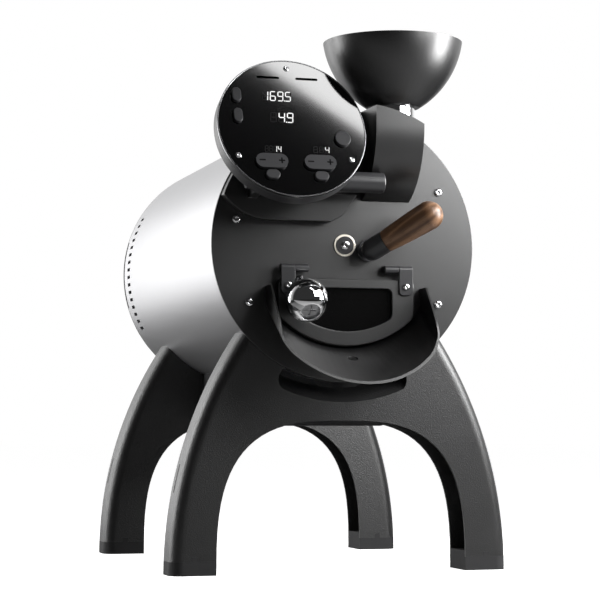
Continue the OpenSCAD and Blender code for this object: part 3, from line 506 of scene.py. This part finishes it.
class RoasterStageSettings(bpy.types.PropertyGroup):
    """Lights and camera."""

    key_power: bpy.props.FloatProperty(
        name="Key light", description="Power of the near light on the right", unit="POWER",
        min=0.0, default=7.2,
    )
    front_power: bpy.props.FloatProperty(
        name="Front light", description="Power of the small light high in front", unit="POWER",
        min=0.0, default=3.0,
    )
    gloss_power: bpy.props.FloatProperty(
        name="Gloss light", description="Power of the strip that the display mirrors", unit="POWER",
        min=0.0, default=1.45,
    )
    left_power: bpy.props.FloatProperty(
        name="Left light", description="Power of the tall light on the left", unit="POWER",
        min=0.0, default=11.5,
    )
    back_power: bpy.props.FloatProperty(
        name="Back light", description="Power of the light behind on the left", unit="POWER",
        min=0.0, default=3.0,
    )
    ambient: bpy.props.FloatProperty(
        name="Ambient light", description="Strength of the even light from all round",
        min=0.0, max=2.0, default=0.03,
    )
    dark_room: bpy.props.FloatProperty(
        name="Dark room",
        description="What shiny surfaces mirror of the room in front of the roaster",
        min=0.0, max=1.0, default=0.03,
    )
    camera_place: bpy.props.FloatVectorProperty(
        name="Camera place",
        description="Camera from the floor below the middle of the faceplate",
        subtype="XYZ", unit="LENGTH", size=3, default=(-0.5521, -1.7517, 0.1372),
    )
    camera_swing: bpy.props.FloatProperty(
        name="Camera swing", description="Turn of the camera to the right", subtype="ANGLE",
        default=math.radians(16.2),
    )
    camera_rise: bpy.props.FloatProperty(
        name="Camera rise", description="Upward tilt of the camera", subtype="ANGLE",
        default=math.radians(3.61),
    )
    lens: bpy.props.FloatProperty(
        name="Lens", description="Focal length on a 36 mm sensor", unit="CAMERA",
        min=20.0, max=300.0, default=118.5,
    )


# ---- Making pieces ------------------------------------------------------------------------------


def material_for(slot):
    """The finish of a material slot, or one of the scene's own, made when it is first asked for."""
    name = slot + "_finish"
    found = bpy.data.materials.get(name)
    if found:
        return found
    look = bpy.context.scene.roaster_finish
    coat = tuple(look.coat)
    # powder_coat(colour, roughness, grains to the metre, depth of the grain, speckle, shine)
    builders = {
        "barrel_aluminium": blasted_aluminium(tuple(look.aluminium)),
        "black_plate": powder_coat(coat, 0.36, 1500.0, 0.00006, shine=1.0),
        "stand_black": powder_coat(coat, 0.42, 800.0, 0.00035, 0.4, 0.9),
        "satin_black": powder_coat([c * 0.8 for c in coat], 0.36, 2200.0, 0.00002, 0.1, 0.8),
        "foot_rubber": moulded_rubber((0.016, 0.016, 0.017)),
        "grey_plastic": moulded_plastic((0.035, 0.035, 0.037), 0.36),
        "button_grey": powder_coat(look.button, 0.4, 2400.0, 0.00001, 0.1, 0.2),
        "chrome": polished_metal((0.86, 0.86, 0.87), 0.02),
        "bright_steel": polished_metal((0.74, 0.74, 0.75), 0.14),
        "inner_steel": brushed_metal((0.55, 0.55, 0.56), 0.26, (1.0, 30.0, 1.0)),
        "dark_steel": powder_coat((0.03, 0.03, 0.032), 0.3, 2200.0, 0.00001, 0.1),
        "brass": polished_metal((0.82, 0.77, 0.68), 0.4),
        "display_glass": black_glass(0.055),
        "door_glass": smoked_glass(),
        "walnut": oiled_walnut("trier_handle"),
        "circuit_green": solder_mask(),
        "belt_black": moulded_rubber((0.012, 0.012, 0.012)),
        "mineral_wool": mineral_fibre(),
        "socket_black": moulded_plastic((0.012, 0.012, 0.012), 0.3),
        "drum_steel": roasted_steel((0.22, 0.2, 0.18)),
        "rim_steel": polished_metal((0.16, 0.16, 0.165), 0.22),
        "lit_digits": lit_digit(tuple(look.digits), 1.1),
        # the unlit strokes get a faint painted glow, so that they show as grey ghost segments
        "unlit_digits_painted_glow": lit_digit(tuple(look.digits), 0.003),
        "button_mark": powder_coat((0.001, 0.001, 0.001), 0.6, 2400.0, 0.00001, 0.1, 0.05),
    }
    return finish(name, builders[slot])


def piece_object(name, mesh, material):
    """An object at the origin, linked into the scene, with one material."""
    obj = bpy.data.objects.new(name, mesh)
    bpy.context.scene.collection.objects.link(obj)
    obj.data.materials.clear()
    obj.data.materials.append(material)
    return obj


def settled(obj):
    """The object with its modifiers worked into a plain mesh."""
    bpy.context.view_layer.update()
    evaluated = obj.evaluated_get(bpy.context.evaluated_depsgraph_get())
    mesh = bpy.data.meshes.new_from_object(evaluated)
    obj.modifiers.clear()
    obj.data = mesh
    return obj


def attach(obj, body, slot=None):
    """Lets a piece ride on a body. The slot argument is not used."""
    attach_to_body(obj, body)
    return obj


def welded(mesh):
    """The mesh's shape with its loose triangles joined."""
    shape = bmesh.new()
    shape.from_mesh(mesh)
    bmesh.ops.remove_doubles(shape, verts=shape.verts, dist=WELD)
    return shape


def rounded(node, width, slot=None, segments=2, sharp=32.0):
    """A copy of a CAD node that stands for it, with edges over sharp degrees rounded."""
    mesh = frame["nodes"][node].data.copy()
    shape = welded(mesh)
    bmesh.ops.dissolve_limit(shape, angle_limit=FLAT, verts=shape.verts, edges=shape.edges)
    shape.to_mesh(mesh)
    shape.free()
    mesh.shade_smooth()
    obj = piece_object(node + "_finished", mesh, material_for(slot or NODE_SLOT[node]))
    if width > 0:
        bevel = obj.modifiers.new("Soft edge", "BEVEL")
        bevel.width = width
        bevel.segments = segments
        bevel.limit_method = "ANGLE"
        bevel.angle_limit = math.radians(sharp)
        bevel.miter_outer = "MITER_ARC"
    normals = obj.modifiers.new("Flat faces", "WEIGHTED_NORMAL")
    normals.keep_sharp = True
    mesh.set_sharp_from_angle(angle=BEVELLED if width > 0 else math.radians(sharp))
    settled(obj)
    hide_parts(node)
    return attach(obj, NODE_BODY[node], NODE_SLOT[node])


def plain(node, slot=None):
    """A CAD node shown as it is, in its finish."""
    mesh = frame["nodes"][node].data
    mesh.materials.clear()
    mesh.materials.append(material_for(slot or NODE_SLOT[node]))


def turned_mesh(name, profile, sides, shape_at):
    """A closed mesh turned round z from (radius, height) rings.

    shape_at(place, angle, radius) gives the radius at an angle of the ring at that place.
    """
    shape = bmesh.new()
    rings = []
    for place, (radius, height) in enumerate(profile):
        if radius <= 0:
            rings.append([shape.verts.new((0, 0, height))])
            continue
        ring = []
        for step in range(sides):
            angle = 2 * math.pi * step / sides
            r = shape_at(place, angle, radius)
            ring.append(shape.verts.new((r * math.cos(angle), r * math.sin(angle), height)))
        rings.append(ring)
    for first, second in zip(rings, rings[1:]):
        for step in range(sides):
            after = (step + 1) % sides
            quad = [first[step % len(first)], first[after % len(first)],
                    second[after % len(second)], second[step % len(second)]]
            corners = list(dict.fromkeys(quad))
            if len(corners) > 2:
                shape.faces.new(corners)
    bmesh.ops.recalc_face_normals(shape, faces=shape.faces)
    mesh = bpy.data.meshes.new(name)
    shape.to_mesh(mesh)
    shape.free()
    return mesh


# ---- Geometry Nodes: one small piece on many places ---------------------------------------------


def repeat_tree(name, material):
    """A tree that puts one small piece on every point, turned and sized by its attributes."""
    tree = bpy.data.node_groups.new(name, "GeometryNodeTree")
    face = tree.interface
    face.new_socket("Places", in_out="INPUT", socket_type="NodeSocketGeometry")
    face.new_socket("Piece", in_out="INPUT", socket_type="NodeSocketObject")
    size = face.new_socket("Size", in_out="INPUT", socket_type="NodeSocketFloat")
    size.default_value = 1.0
    face.new_socket("Result", in_out="OUTPUT", socket_type="NodeSocketGeometry")

    node = Sheet(tree).node

    def given(socket):
        return node("NodeGroupInput", out=socket)

    def attribute(name):
        settings = {"data_type": "FLOAT_VECTOR"}
        return node("GeometryNodeInputNamedAttribute", settings, {"Name": name}, out="Attribute")

    scale = node(
        "ShaderNodeVectorMath",
        {"operation": "SCALE"},
        {0: attribute("stretch"), "Scale": given("Size")},
    )
    piece = node("GeometryNodeObjectInfo", {}, {"Object": given("Piece")}, out="Geometry")
    spread = node(
        "GeometryNodeInstanceOnPoints",
        {},
        {
            "Points": given("Places"),
            "Instance": piece,
            "Rotation": attribute("turn"),
            "Scale": scale,
        },
    )
    real = node("GeometryNodeRealizeInstances", {}, {"Geometry": spread})
    painted = node("GeometryNodeSetMaterial", {}, {"Geometry": real, "Material": material})
    node("NodeGroupOutput", {}, {"Result": painted})
    return tree


def repeated(name, mesh, places, slot, body, size=1.0, stand_for=(), slot_name=None):
    """One mesh on every (matrix, stretch) of places, as one plain mesh that rides on a body.

    It may stand for CAD nodes. slot_name is not used.
    """
    material = material_for(slot)
    sample = piece_object(name + "_sample", mesh, material)
    points = bpy.data.meshes.new(name)
    points.from_pydata([m.translation for m, _ in places], [], [])
    turn = points.attributes.new("turn", "FLOAT_VECTOR", "POINT")
    stretch = points.attributes.new("stretch", "FLOAT_VECTOR", "POINT")
    for index, (matrix, scale) in enumerate(places):
        turn.data[index].vector = matrix.to_euler()
        stretch.data[index].vector = scale
    obj = piece_object(name, points, material)
    modifier = obj.modifiers.new("Repeat", "NODES")
    tree = repeat_tree(name + " tree", material)
    modifier.node_group = tree
    sockets = {item.name: item.identifier for item in tree.interface.items_tree}
    modifier[sockets["Piece"]] = sample
    modifier[sockets["Size"]] = size
    settled(obj)
    bpy.data.objects.remove(sample)
    for attribute in ("turn", "stretch"):
        if attribute in obj.data.attributes:
            obj.data.attributes.remove(obj.data.attributes[attribute])
    if stand_for:
        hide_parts(*stand_for)
    return attach(obj, body, slot_name)


def screw_mesh(radius, height, sides=24):
    """A domed screw head with a six-sided socket."""
    socket = 0.42 * radius
    sixth = math.pi / 3
    dome = [(radius, 0), (radius, 0.3 * height), (0.97 * radius, 0.5 * height),
            (0.86 * radius, 0.78 * height), (0.68 * radius, 0.95 * height),
            (0.56 * radius, height)]
    wall = [(1.08 * socket, height), (socket, 0.95 * height), (socket, 0.35 * height)]

    def six_sided(place, angle, r):
        if not len(dome) < place <= len(dome) + len(wall):
            return r
        part = (angle + sixth / 2) % sixth - sixth / 2
        return r * math.cos(sixth / 2) / math.cos(part)

    rings = [(0, 0)] + dome + wall + [(0, 0.2 * height)]
    mesh = turned_mesh("screw", rings, sides, six_sided)
    mesh.shade_smooth()
    mesh.set_sharp_from_angle(angle=math.radians(50))
    return mesh


def facing(point, outward):
    """Axes at a point with z outward and x level."""
    z = outward.normalized()
    x = Vector((0, 0, 1)).cross(z).normalized()
    y = z.cross(x)
    matrix = Matrix((x, y, z)).transposed().to_4x4()
    matrix.translation = point
    return matrix


def node_islands(node, axis):
    """Middle of the rear face and depth of each solid in a CAD node, along an outward axis."""
    shape = welded(frame["nodes"][node].data)
    left = set(shape.verts)
    found = []
    while left:
        stack = [left.pop()]
        island = []
        while stack:
            vert = stack.pop()
            island.append(vert.co.copy())
            for edge in vert.link_edges:
                other = edge.other_vert(vert)
                if other in left:
                    left.remove(other)
                    stack.append(other)
        rear = min(co.dot(axis) for co in island)
        low = Vector([min(co[i] for co in island) for i in range(3)])
        high = Vector([max(co[i] for co in island) for i in range(3)])
        mid = (low + high) / 2
        depth = max(co.dot(axis) for co in island) - rear
        found.append((mid + axis * (rear - mid.dot(axis)), depth))
    shape.free()
    return found


# ---- Lit digits ---------------------------------------------------------------------------------

# The seven strokes of a digit: its middle across in widths and up in half heights, whether it
# is upright, and the digits that use it.
STROKES = {
    "top": ((0.0, 1.0), False, "02356789"),
    "upper_right": ((0.5, 0.5), True, "01234789"),
    "lower_right": ((0.5, -0.5), True, "013456789"),
    "bottom": ((0.0, -1.0), False, "0235689"),
    "lower_left": ((-0.5, -0.5), True, "0268"),
    "upper_left": ((-0.5, 0.5), True, "045689"),
    "middle": ((0.0, 0.0), False, "2345689"),
}
# The numbers on the display, each with the left, right, low and high edge of its field in
# millimetres from the middle of the glass. A space is a digit that isn't lit.
READOUTS = (
    ("169.5", -26.0, 2.5, 26.6, 36.6),
    (" 4.9", -20.6, 2.8, 4.7, 15.0),
    ("  14", -28.0, -12.0, -25.8, -19.4),
    ("  4", 17.0, 33.5, -24.9, -18.4),
)
SLANT = 0.1  # lean of the digits to the right
STROKE_DEPTH = 0.2  # millimetres
LIT_SUNK = 0.1  # millimetres of a stroke that lie in the glass
UNLIT_SUNK = 0.14


def stroke_mesh():
    """One stroke of a digit: a flat bar of unit length and depth with pointed ends."""
    shape = bmesh.new()
    end, corner, half = 0.5, 0.42, 0.09
    outline = [(-end, 0.0), (-corner, half), (corner, half),
               (end, 0.0), (corner, -half), (-corner, -half)]
    face = shape.faces.new([shape.verts.new((x, y, 0.0)) for x, y in outline])
    raised = bmesh.ops.extrude_face_region(shape, geom=[face])
    for item in raised["geom"]:
        if isinstance(item, bmesh.types.BMVert):
            item.co.z = 1.0
    bmesh.ops.recalc_face_normals(shape, faces=shape.faces)
    mesh = bpy.data.meshes.new("stroke")
    shape.to_mesh(mesh)
    shape.free()
    return mesh


def digit_count(text):
    return sum(1 for character in text if character != ".")


def digit_places(text, left, right, low, high, sunk):
    """Places for the strokes of a number that fills a field on the display, in millimetres."""
    height = high - low
    pitch = (right - left) / digit_count(text)
    width = 0.66 * min(0.8 * height, pitch)
    upright_size = (0.44 * height, 0.52 * height, STROKE_DEPTH)
    level_size = (0.9 * width, 0.52 * height, STROKE_DEPTH)
    point_size = (0.11 * height, 0.6 * height, STROKE_DEPTH)
    out = -sunk * MM
    places = []
    column = 0
    for character in text:
        mid_u = left + (column + 0.5) * pitch
        mid_v = (low + high) / 2
        if character == ".":
            u = left + (column + 0.02) * pitch
            v = low + 0.05 * height
            places.append((display_matrix(u * MM, v * MM, out), point_size))
            continue
        column += 1
        for (across, up), upright, users in STROKES.values():
            if character not in users:
                continue
            u = mid_u + across * width + SLANT * up * height / 2
            v = mid_v + up * 0.46 * height
            matrix = display_matrix(u * MM, v * MM, out)
            if upright:
                matrix = matrix @ Matrix.Rotation(math.pi / 2 - SLANT, 4, "Z")
            places.append((matrix, upright_size if upright else level_size))
    return places


# ---- Operators ----------------------------------------------------------------------------------


class ROASTER_OT_barrel(bpy.types.Operator):
    """Finish the aluminium barrel, its slotted ring and its rear cover"""

    bl_idname = "roaster.barrel"
    bl_label = "Barrel"

    def execute(self, context):
        look = context.scene.roaster_finish
        rounded("body_shell", look.sheet_edge)
        rounded("rear_ring", look.sheet_edge * FINE)
        rounded("rear_cover", look.sheet_edge)
        return {"FINISHED"}


class ROASTER_OT_front(bpy.types.Operator):
    """Finish the faceplate and what is fixed on it"""

    bl_idname = "roaster.front"
    bl_label = "Faceplate"

    def execute(self, context):
        look = context.scene.roaster_finish
        rounded("faceplate", look.sheet_edge)
        rounded("shaft_bush", look.sheet_edge)
        rounded("drum_shaft", look.sheet_edge, "dark_steel")
        end = middle("drum_shaft")
        end.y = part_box("drum_shaft")[0].y
        places = [(facing(end, FRONT), UNSTRETCHED)]
        head = screw_mesh(radius=4.2 * MM, height=1.2 * MM)
        repeated("shaft_screw", head, places, "bright_steel",
                 NODE_BODY["drum_shaft"], slot_name="bright_steel")
        rounded("hinge_knuckles", look.sheet_edge)
        rounded("discharge_spout", look.sheet_edge * BROAD)
        rounded("display_mount", look.cast_edge)
        rounded("pivot_barrel", look.cast_edge)
        return {"FINISHED"}


class ROASTER_OT_stand(bpy.types.Operator):
    """Finish the two arches and their rubber feet"""

    bl_idname = "roaster.stand"
    bl_label = "Stand"

    def execute(self, context):
        look = context.scene.roaster_finish
        for node in ("front_arch", "rear_arch"):
            rounded(node, look.sheet_edge)
        for side in ("front_left", "front_right", "rear_left", "rear_right"):
            rounded("foot_" + side, look.cast_edge)
        return {"FINISHED"}


class ROASTER_OT_housing(bpy.types.Operator):
    """Finish the electronics housing under the barrel"""

    bl_idname = "roaster.housing"
    bl_label = "Electronics housing"

    def execute(self, context):
        look = context.scene.roaster_finish
        rounded("underbody_housing", look.sheet_edge)
        rounded("bottom_cover", look.sheet_edge)
        plain("power_board")
        return {"FINISHED"}


class ROASTER_OT_door(bpy.types.Operator):
    """Finish the hinged door, its window and its ball knob"""

    bl_idname = "roaster.door"
    bl_label = "Door"

    def execute(self, context):
        look = context.scene.roaster_finish
        rounded("door_frame", look.cast_edge)
        rounded("door_glass", look.sheet_edge)
        rounded("hinge_leaves", look.sheet_edge)
        rounded("knob_post", look.sheet_edge)
        rounded("ball_knob", look.sheet_edge, sharp=40.0)
        rounded("knob_screw", look.sheet_edge * FINE)
        plain("bean_probe")
        return {"FINISHED"}


class ROASTER_OT_inlet(bpy.types.Operator):
    """Finish the hood, its collar and the bean funnel"""

    bl_idname = "roaster.inlet"
    bl_label = "Bean inlet"

    def execute(self, context):
        look = context.scene.roaster_finish
        rounded("inlet_hood", look.cast_edge)
        rounded("inlet_collar", look.sheet_edge)
        rounded("funnel", look.sheet_edge)
        return {"FINISHED"}


class ROASTER_OT_display(bpy.types.Operator):
    """Finish the round display and its bracket"""

    bl_idname = "roaster.display"
    bl_label = "Display"

    def execute(self, context):
        look = context.scene.roaster_finish
        rounded("display_bracket", look.cast_edge)
        rounded("display_housing", look.sheet_edge)
        rounded("display_rim", look.sheet_edge, "rim_steel")
        plain("display_glass")
        plain("display_board")
        return {"FINISHED"}


class ROASTER_OT_buttons(bpy.types.Operator):
    """Finish the push buttons and rockers, and mark the rockers"""

    bl_idname = "roaster.buttons"
    bl_label = "Buttons"

    def execute(self, context):
        look = context.scene.roaster_finish
        for place in ("upper", "lower", "round", "left", "right"):
            rounded("button_" + place, look.cast_edge, segments=3)
        for name in ("rocker_left", "rocker_right"):
            rounded(name, look.cast_edge, segments=3)
            self.mark(name)
        return {"FINISHED"}

    def mark(self, name):
        """A short bar on the left half of a rocker and a cross on its right half."""
        here = middle(name) - GLASS_FRONT
        u, v = here.dot(FACE_RIGHT), here.dot(FACE_UP)
        corners = frame["nodes"][name].data.vertices
        top = max(corner.co.dot(-PRESS_IN) for corner in corners)
        sunk = 0.08 * MM
        aside = 9.0 * MM
        out = top - GLASS_FRONT.dot(-PRESS_IN) - sunk
        bar_size = (6.2, 7.5, 0.12)  # millimetres
        bar = display_matrix(u - aside, v, out)
        cross = display_matrix(u + aside, v, out)
        upright = cross @ Matrix.Rotation(math.pi / 2, 4, "Z")
        places = [(matrix, bar_size) for matrix in (bar, cross, upright)]
        repeated(name + "_marks", stroke_mesh(), places, "button_mark", name, size=MM)


class ROASTER_OT_readouts(bpy.types.Operator):
    """Light the digits on the display"""

    bl_idname = "roaster.readouts"
    bl_label = "Readouts"

    def execute(self, context):
        lit, unlit = [], []
        for text, *field in READOUTS:
            lit += digit_places(text, *field, LIT_SUNK)
            # the unlit eights are drawn with a faint painted glow, as grey ghost segments
            unlit += digit_places("8" * digit_count(text), *field, UNLIT_SUNK)
        repeated("lit_readouts", stroke_mesh(), lit, "lit_digits", "display", size=MM)
        repeated("unlit_readouts", stroke_mesh(), unlit, "unlit_digits_painted_glow", "display", size=MM)
        return {"FINISHED"}


class ROASTER_OT_screws(bpy.types.Operator):
    """Put domed screws with six-sided sockets where the plain screws are"""

    bl_idname = "roaster.screws"
    bl_label = "Screws"

    def execute(self, context):
        for node, radius, outward in (
            ("faceplate_screws", 3.9 * MM, FRONT),
            ("door_screws", 3.2 * MM, FRONT),
            ("display_screws", 2.7 * MM, -PRESS_IN),
        ):
            found = node_islands(node, outward)
            height = found[0][1]
            places = [(facing(point, outward), UNSTRETCHED) for point, _ in found]
            repeated(node + "_finished", screw_mesh(radius, height), places, "bright_steel",
                     NODE_BODY[node], stand_for=(node,), slot_name=NODE_SLOT[node])
        return {"FINISHED"}


class ROASTER_OT_sampler(bpy.types.Operator):
    """Finish the sampler, its ferrule and its walnut handle"""

    bl_idname = "roaster.sampler"
    bl_label = "Sampler"

    def execute(self, context):
        look = context.scene.roaster_finish
        rounded("trier_bush", look.sheet_edge)
        rounded("trier_scoop", look.sheet_edge * FINE)
        rounded("trier_ferrule", look.cast_edge)
        rounded("trier_handle", look.cast_edge)
        return {"FINISHED"}


class ROASTER_OT_drive(bpy.types.Operator):
    """Finish the drum, its drive, the heater sleeve and the exhaust"""

    bl_idname = "roaster.drive"
    bl_label = "Drum and drive"

    def execute(self, context):
        plain("drum", "drum_steel")
        for node in ("drum_pulley", "drive_belt", "bulkhead", "motor_pulley", "drum_motor",
                     "heater_sleeve", "exhaust_duct", "exhaust_fan"):
            plain(node)
        return {"FINISHED"}


class ROASTER_OT_rear(bpy.types.Operator):
    """Finish the chaff collector, the mains inlet and the switch on the rear"""

    bl_idname = "roaster.rear"
    bl_label = "Rear fittings"

    def execute(self, context):
        look = context.scene.roaster_finish
        rounded("chaff_collector", look.sheet_edge)
        rounded("power_inlet", look.sheet_edge)
        rounded("power_switch", look.sheet_edge)
        return {"FINISHED"}


class ROASTER_OT_stage(bpy.types.Operator):
    """Set up the pale floor, the soft lights and the camera"""

    bl_idname = "roaster.stage"
    bl_label = "Stage"

    def execute(self, context):
        stage = context.scene.roaster_stage
        self.floor()
        self.sky(stage.ambient, stage.dark_room)
        heart = (cad_low + cad_high) / 2
        plate = FACE_MIDDLE + Vector((0.1, 0.0, 0.0))  # the right half of the faceplate
        for name, target, direction, away, size, power in (
            ("key_light", plate, (0.83, -0.45, 0.34), 0.45, (0.2, 0.4), stage.key_power),
            ("front_light", plate, (0.45, -0.8, 0.45), 0.6, (0.3, 0.3), stage.front_power),
            ("left_light", heart, (-0.91, 0.4, 0.1), 1.3, (0.35, 1.2), stage.left_power),
            ("back_light", heart, (-0.6, 0.8, 0.1), 1.2, (0.5, 0.8), stage.back_power),
        ):
            self.lamp(name, target + Vector(direction).normalized() * away, target, size, power)
        self.mirrored_strip(stage)
        self.camera(context.scene, stage)
        context.scene.view_settings.view_transform = "Standard"
        return {"FINISHED"}

    def floor(self):
        """A matt floor that the camera sees as white, with the roaster's soft shadow on it.

        Shiny surfaces mirror two bands of it: a dim one near the front and a bright one far behind.
        """
        near_start, near_end, near_light = -1.6, -0.55, 0.3
        far_start, far_full = 2.2, 2.7
        shape = bmesh.new()
        bmesh.ops.create_circle(shape, cap_ends=True, segments=96, radius=12.0)
        mesh = bpy.data.meshes.new("floor")
        shape.to_mesh(mesh)
        shape.free()
        material = bpy.data.materials.new("pale_floor")
        sheet = shader_sheet(material)
        backward = sheet.node("ShaderNodeSeparateXYZ", {}, {"Vector": sheet.place()}, out=1)
        far = sheet.ramp(backward, far_start, far_full)
        near = (backward > near_start) * (backward < near_end)
        mirrored = sheet.glossy_ray() * (far + near * near_light)
        unseen = self.matt(sheet, reflected=0.3)
        glowing = self.matt(sheet, reflected=0.3, glow=1.0)
        white = self.matt(sheet, reflected=0.9, glow=0.97)
        surface = sheet.blend(sheet.seen_ray(), sheet.blend(mirrored, unseen, glowing), white)
        sheet.node("ShaderNodeOutputMaterial", {}, {"Surface": surface})
        obj = piece_object("floor", mesh, material)

    def matt(self, sheet, reflected, glow=0.0):
        """A matt grey shader that may also glow."""
        grey = sheet.node("ShaderNodeBsdfDiffuse", {}, {"Color": (reflected,) * 3})
        if glow == 0.0:
            return grey
        light = sheet.node("ShaderNodeEmission", {}, {"Color": (1, 1, 1), "Strength": glow})
        return sheet.node("ShaderNodeAddShader", {}, {0: grey, 1: light})

    def sky(self, ambient, dark_room):
        """White to the eye, and a white backdrop behind the roaster for what shines."""
        world = bpy.data.worlds.new("studio")
        bpy.context.scene.world = world
        sheet = shader_sheet(world)

        def light(strength):
            values = {"Color": (1, 1, 1), "Strength": strength}
            return sheet.node("ShaderNodeBackground", {}, values)

        direction = sheet.node("ShaderNodeTexCoord")
        backward = sheet.node("ShaderNodeSeparateXYZ", {}, {"Vector": direction}, out=1)
        in_front = 1.0 - sheet.ramp(backward, 0.0, 0.5)
        mirrored = sheet.blend(in_front, light(1.0), light(dark_room))
        unseen = sheet.blend(sheet.glossy_ray(), light(ambient), mirrored)
        surface = sheet.blend(sheet.seen_ray(), unseen, light(1.0))
        sheet.node("ShaderNodeOutputWorld", {}, {"Surface": surface})

    def mirrored_strip(self, stage):
        """A strip light whose edge crosses the display's glass as a soft diagonal gleam."""
        eye = FACE_FOOT + Vector(stage.camera_place)
        glass = on_display(0.0, 0.0)
        mirror = (glass - eye).normalized().reflect(-PRESS_IN)
        upper_right = FACE_RIGHT * 0.57 + FACE_UP * 0.82
        across = (upper_right - mirror * upper_right.dot(mirror)).normalized()
        width, length, away, edge_aside = 0.12, 0.4, 1.2, 0.052
        place = glass + mirror * away + across * (width / 2 + edge_aside)
        back = (place - glass).normalized()
        side = across.cross(back).normalized()
        light = self.lamp("gloss_light", place, glass, (length, width), stage.gloss_power)
        turned = Matrix((side, back.cross(side), back)).transposed()
        light.rotation_euler = turned.to_euler()

    def lamp(self, name, place, target, size, power):
        """An area light at a place, aimed at a target."""
        light = bpy.data.lights.new(name, "AREA")
        light.shape = "RECTANGLE"
        light.size, light.size_y = size
        light.energy = power
        obj = bpy.data.objects.new(name, light)
        bpy.context.scene.collection.objects.link(obj)
        obj.location = place
        obj.rotation_euler = (target - obj.location).to_track_quat("-Z", "Y").to_euler()
        return obj

    def camera(self, scene, stage):
        """The camera that the photo's view was solved for."""
        camera = bpy.data.cameras.new("photo_camera")
        camera.lens = stage.lens
        camera.sensor_width = 36.0
        camera.clip_end = 60.0
        obj = bpy.data.objects.new("photo_camera", camera)
        scene.collection.objects.link(obj)
        obj.location = FACE_FOOT + Vector(stage.camera_place)
        obj.rotation_euler = (math.pi / 2 + stage.camera_rise, 0.0, -stage.camera_swing)
        scene.camera = obj


class ROASTER_PT_panel(bpy.types.Panel):
    """The roaster's steps and settings in the sidebar"""

    bl_label = "Coffee Roaster"
    bl_idname = "ROASTER_PT_panel"
    bl_space_type = "VIEW_3D"
    bl_region_type = "UI"
    bl_category = "Roaster"

    def draw(self, context):
        for group in (context.scene.roaster_finish, context.scene.roaster_stage):
            for name in group.__annotations__:
                self.layout.prop(group, name)
        for step in STEPS:
            self.layout.operator(step.bl_idname)


STEPS = (
    ROASTER_OT_barrel,
    ROASTER_OT_front,
    ROASTER_OT_stand,
    ROASTER_OT_housing,
    ROASTER_OT_door,
    ROASTER_OT_inlet,
    ROASTER_OT_display,
    ROASTER_OT_buttons,
    ROASTER_OT_readouts,
    ROASTER_OT_screws,
    ROASTER_OT_sampler,
    ROASTER_OT_drive,
    ROASTER_OT_rear,
    ROASTER_OT_stage,
)
CLASSES = (RoasterFinishSettings, RoasterStageSettings) + STEPS + (ROASTER_PT_panel,)


def register():
    for cls in CLASSES:
        bpy.utils.register_class(cls)
    bpy.types.Scene.roaster_finish = bpy.props.PointerProperty(type=RoasterFinishSettings)
    bpy.types.Scene.roaster_stage = bpy.props.PointerProperty(type=RoasterStageSettings)


def unregister():
    del bpy.types.Scene.roaster_stage
    del bpy.types.Scene.roaster_finish
    for cls in reversed(CLASSES):
        bpy.utils.unregister_class(cls)


def main():
    register()
    for step in STEPS:
        family, name = step.bl_idname.split(".")
        getattr(getattr(bpy.ops, family), name)()


if __name__ == "__main__":
    main()
